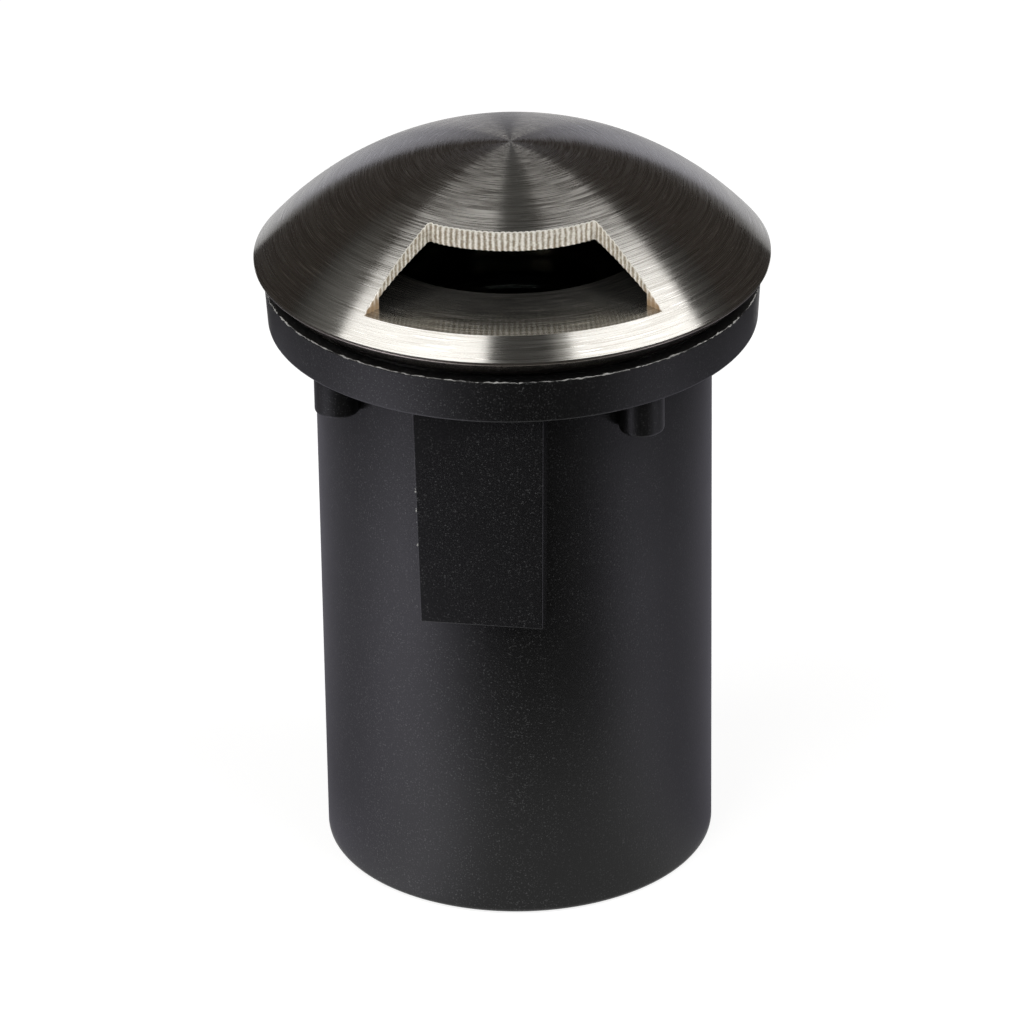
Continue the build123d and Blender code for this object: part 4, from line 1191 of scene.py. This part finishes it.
def sheen(azimuth, reach):
    """The floor's brightness in reflections: dim in front and far away, bright at the sides."""
    if reach > SHEEN_R:
        return Vector((0.06, 0.06, 0.06))
    share = (reach - 50.0) / 200.0
    left = (0.27 + 0.25 * share) * ease(-azimuth, 40, 80)
    right = (0.31 + 0.08 * share) * ease(azimuth, 40, 80)
    key_dip = 1 - 0.6 * ease(azimuth, -32, -18) * ease(reach, 165, 185)
    left += bell(azimuth, -55, 25.0) * (0.43 + 2.17 * share) * key_dip
    left += 0.45 * bell(azimuth, -33, 15.0) * (1 - ease(reach, 96, 130))
    right += bell(azimuth, 62.5, 18.0) * 1.29 * share
    near = 0.61 * (1 - ease(reach, 106, 122)) * (1 - ease(abs(azimuth - 5), 40, 80))
    return (left + right) * Vector((0.985, 0.955, 1.10)) + near * Vector((1, 1, 1))


shade_mesh = bmesh.new()
glow_mark = shade_mesh.verts.layers.float_color.new("sheen")
azimuths = range(-180, 180, SHEEN_STEP)
polar = {}
for azimuth in azimuths:
    for number, reach in enumerate(RINGS + FAR_RINGS):
        at_opening = azimuth == -BACK_OPEN and reach > SHEEN_R
        spoke = direction(-BACK_OPEN_LEFT if at_opening else azimuth, 0)
        vert = shade_mesh.verts.new(spoke * reach * MM + Vector((0, 0, SHEEN_RISE)))
        vert[glow_mark] = (*sheen(azimuth, reach), 1.0)
        polar[azimuth, number] = vert
for azimuth in azimuths:
    after = azimuth + SHEEN_STEP if azimuth < 180 - SHEEN_STEP else -180
    reaches = len(RINGS) + 1 if -BACK_OPEN <= azimuth < BACK_OPEN else len(RINGS) - 1
    for number in range(reaches):
        corners = ((azimuth, number), (azimuth, number + 1), (after, number + 1), (after, number))
        shade_mesh.faces.new([polar[corner] for corner in corners])

# Soft edges of the panels: each corner is an azimuth, a height and a brightness.
fade_mesh = bmesh.new()
fade_mark = fade_mesh.verts.layers.float_color.new("sheen")
fades = [
    [(-76, 12, 0.33), (-97.7, 47.7, 0.33), (-138, 43, 0.05), (-103.5, 12, 0.05)],
    [(83.2, 15, 0.14), (110.2, 48.0, 0.14), (132.6, 43, 0.05), (101.9, 15, 0.05)],
    [(-11.0, 26.8, 0.08), (16.0, 25.3, 0.08), (26.0, 67.3, 0.10), (-26.2, 74.7, 0.10)],
    [(16.0, 25.3, 0.08), (25.2, 25.3, 1.00), (42.8, 67.3, 1.00), (26.0, 67.3, 0.10)],
    [(26.0, 67.3, 0.10), (180, 30, 0.11), (-26.2, 74.7, 0.10)],
]
for corners in fades:
    verts = []
    for azimuth, height, bright in corners:
        verts.append(fade_mesh.verts.new(AIM + FADE_REACH * direction(azimuth, height)))
        verts[-1][fade_mark] = (bright, 0.99 * bright, 0.94 * bright, 1.0)
    fade_mesh.faces.new(verts)
shade_paint = glowing("floor_sheen", WHITE, 1.0)
shade_tree = shade_paint.node_tree
shade_glow = Tone(shade_tree, None).node("Attribute", out=0, attribute_name="sheen")
shade_tree.links.new(shade_glow.socket, shade_tree.nodes["Emission"].inputs["Color"])
shade = as_piece("floor_sheen", shade_mesh, shade_paint)
fade = as_piece("panel_fade", fade_mesh, shade_paint)
for card in (backdrop, shade, fade):
    hide_from(card, "camera", "diffuse", "shadow", "transmission")

world = bpy.data.worlds.new("studio")
bpy.context.scene.world = world
seen = plainly_seen(bare_tree(world))
sky = seen.node("Background", {"Color": WHITE, "Strength": 0.25 + 0.75 * seen})
seen.node("OutputWorld", {"Surface": sky})

camera_data = bpy.data.cameras.new("camera")
camera_data.lens = 230.5
camera_data.sensor_width = 36.0
camera_data.shift_x = -0.0041
camera_data.shift_y = 0.0264
camera_data.clip_end = 50.0
camera = bpy.data.objects.new("camera", camera_data)
bpy.context.scene.collection.objects.link(camera)
ahead = Vector((0.0, 0.8862, -0.4633)).normalized()
right = Vector((0.9999, -0.00655, -0.01253)).normalized()
above = right.cross(ahead)
pose = Matrix((right, above, -ahead)).transposed().to_4x4()
pose.translation = Vector((0.0, -1.26366, 0.72989))
camera.matrix_world = pose
bpy.context.scene.camera = camera
bpy.context.scene.view_settings.view_transform = "Standard"
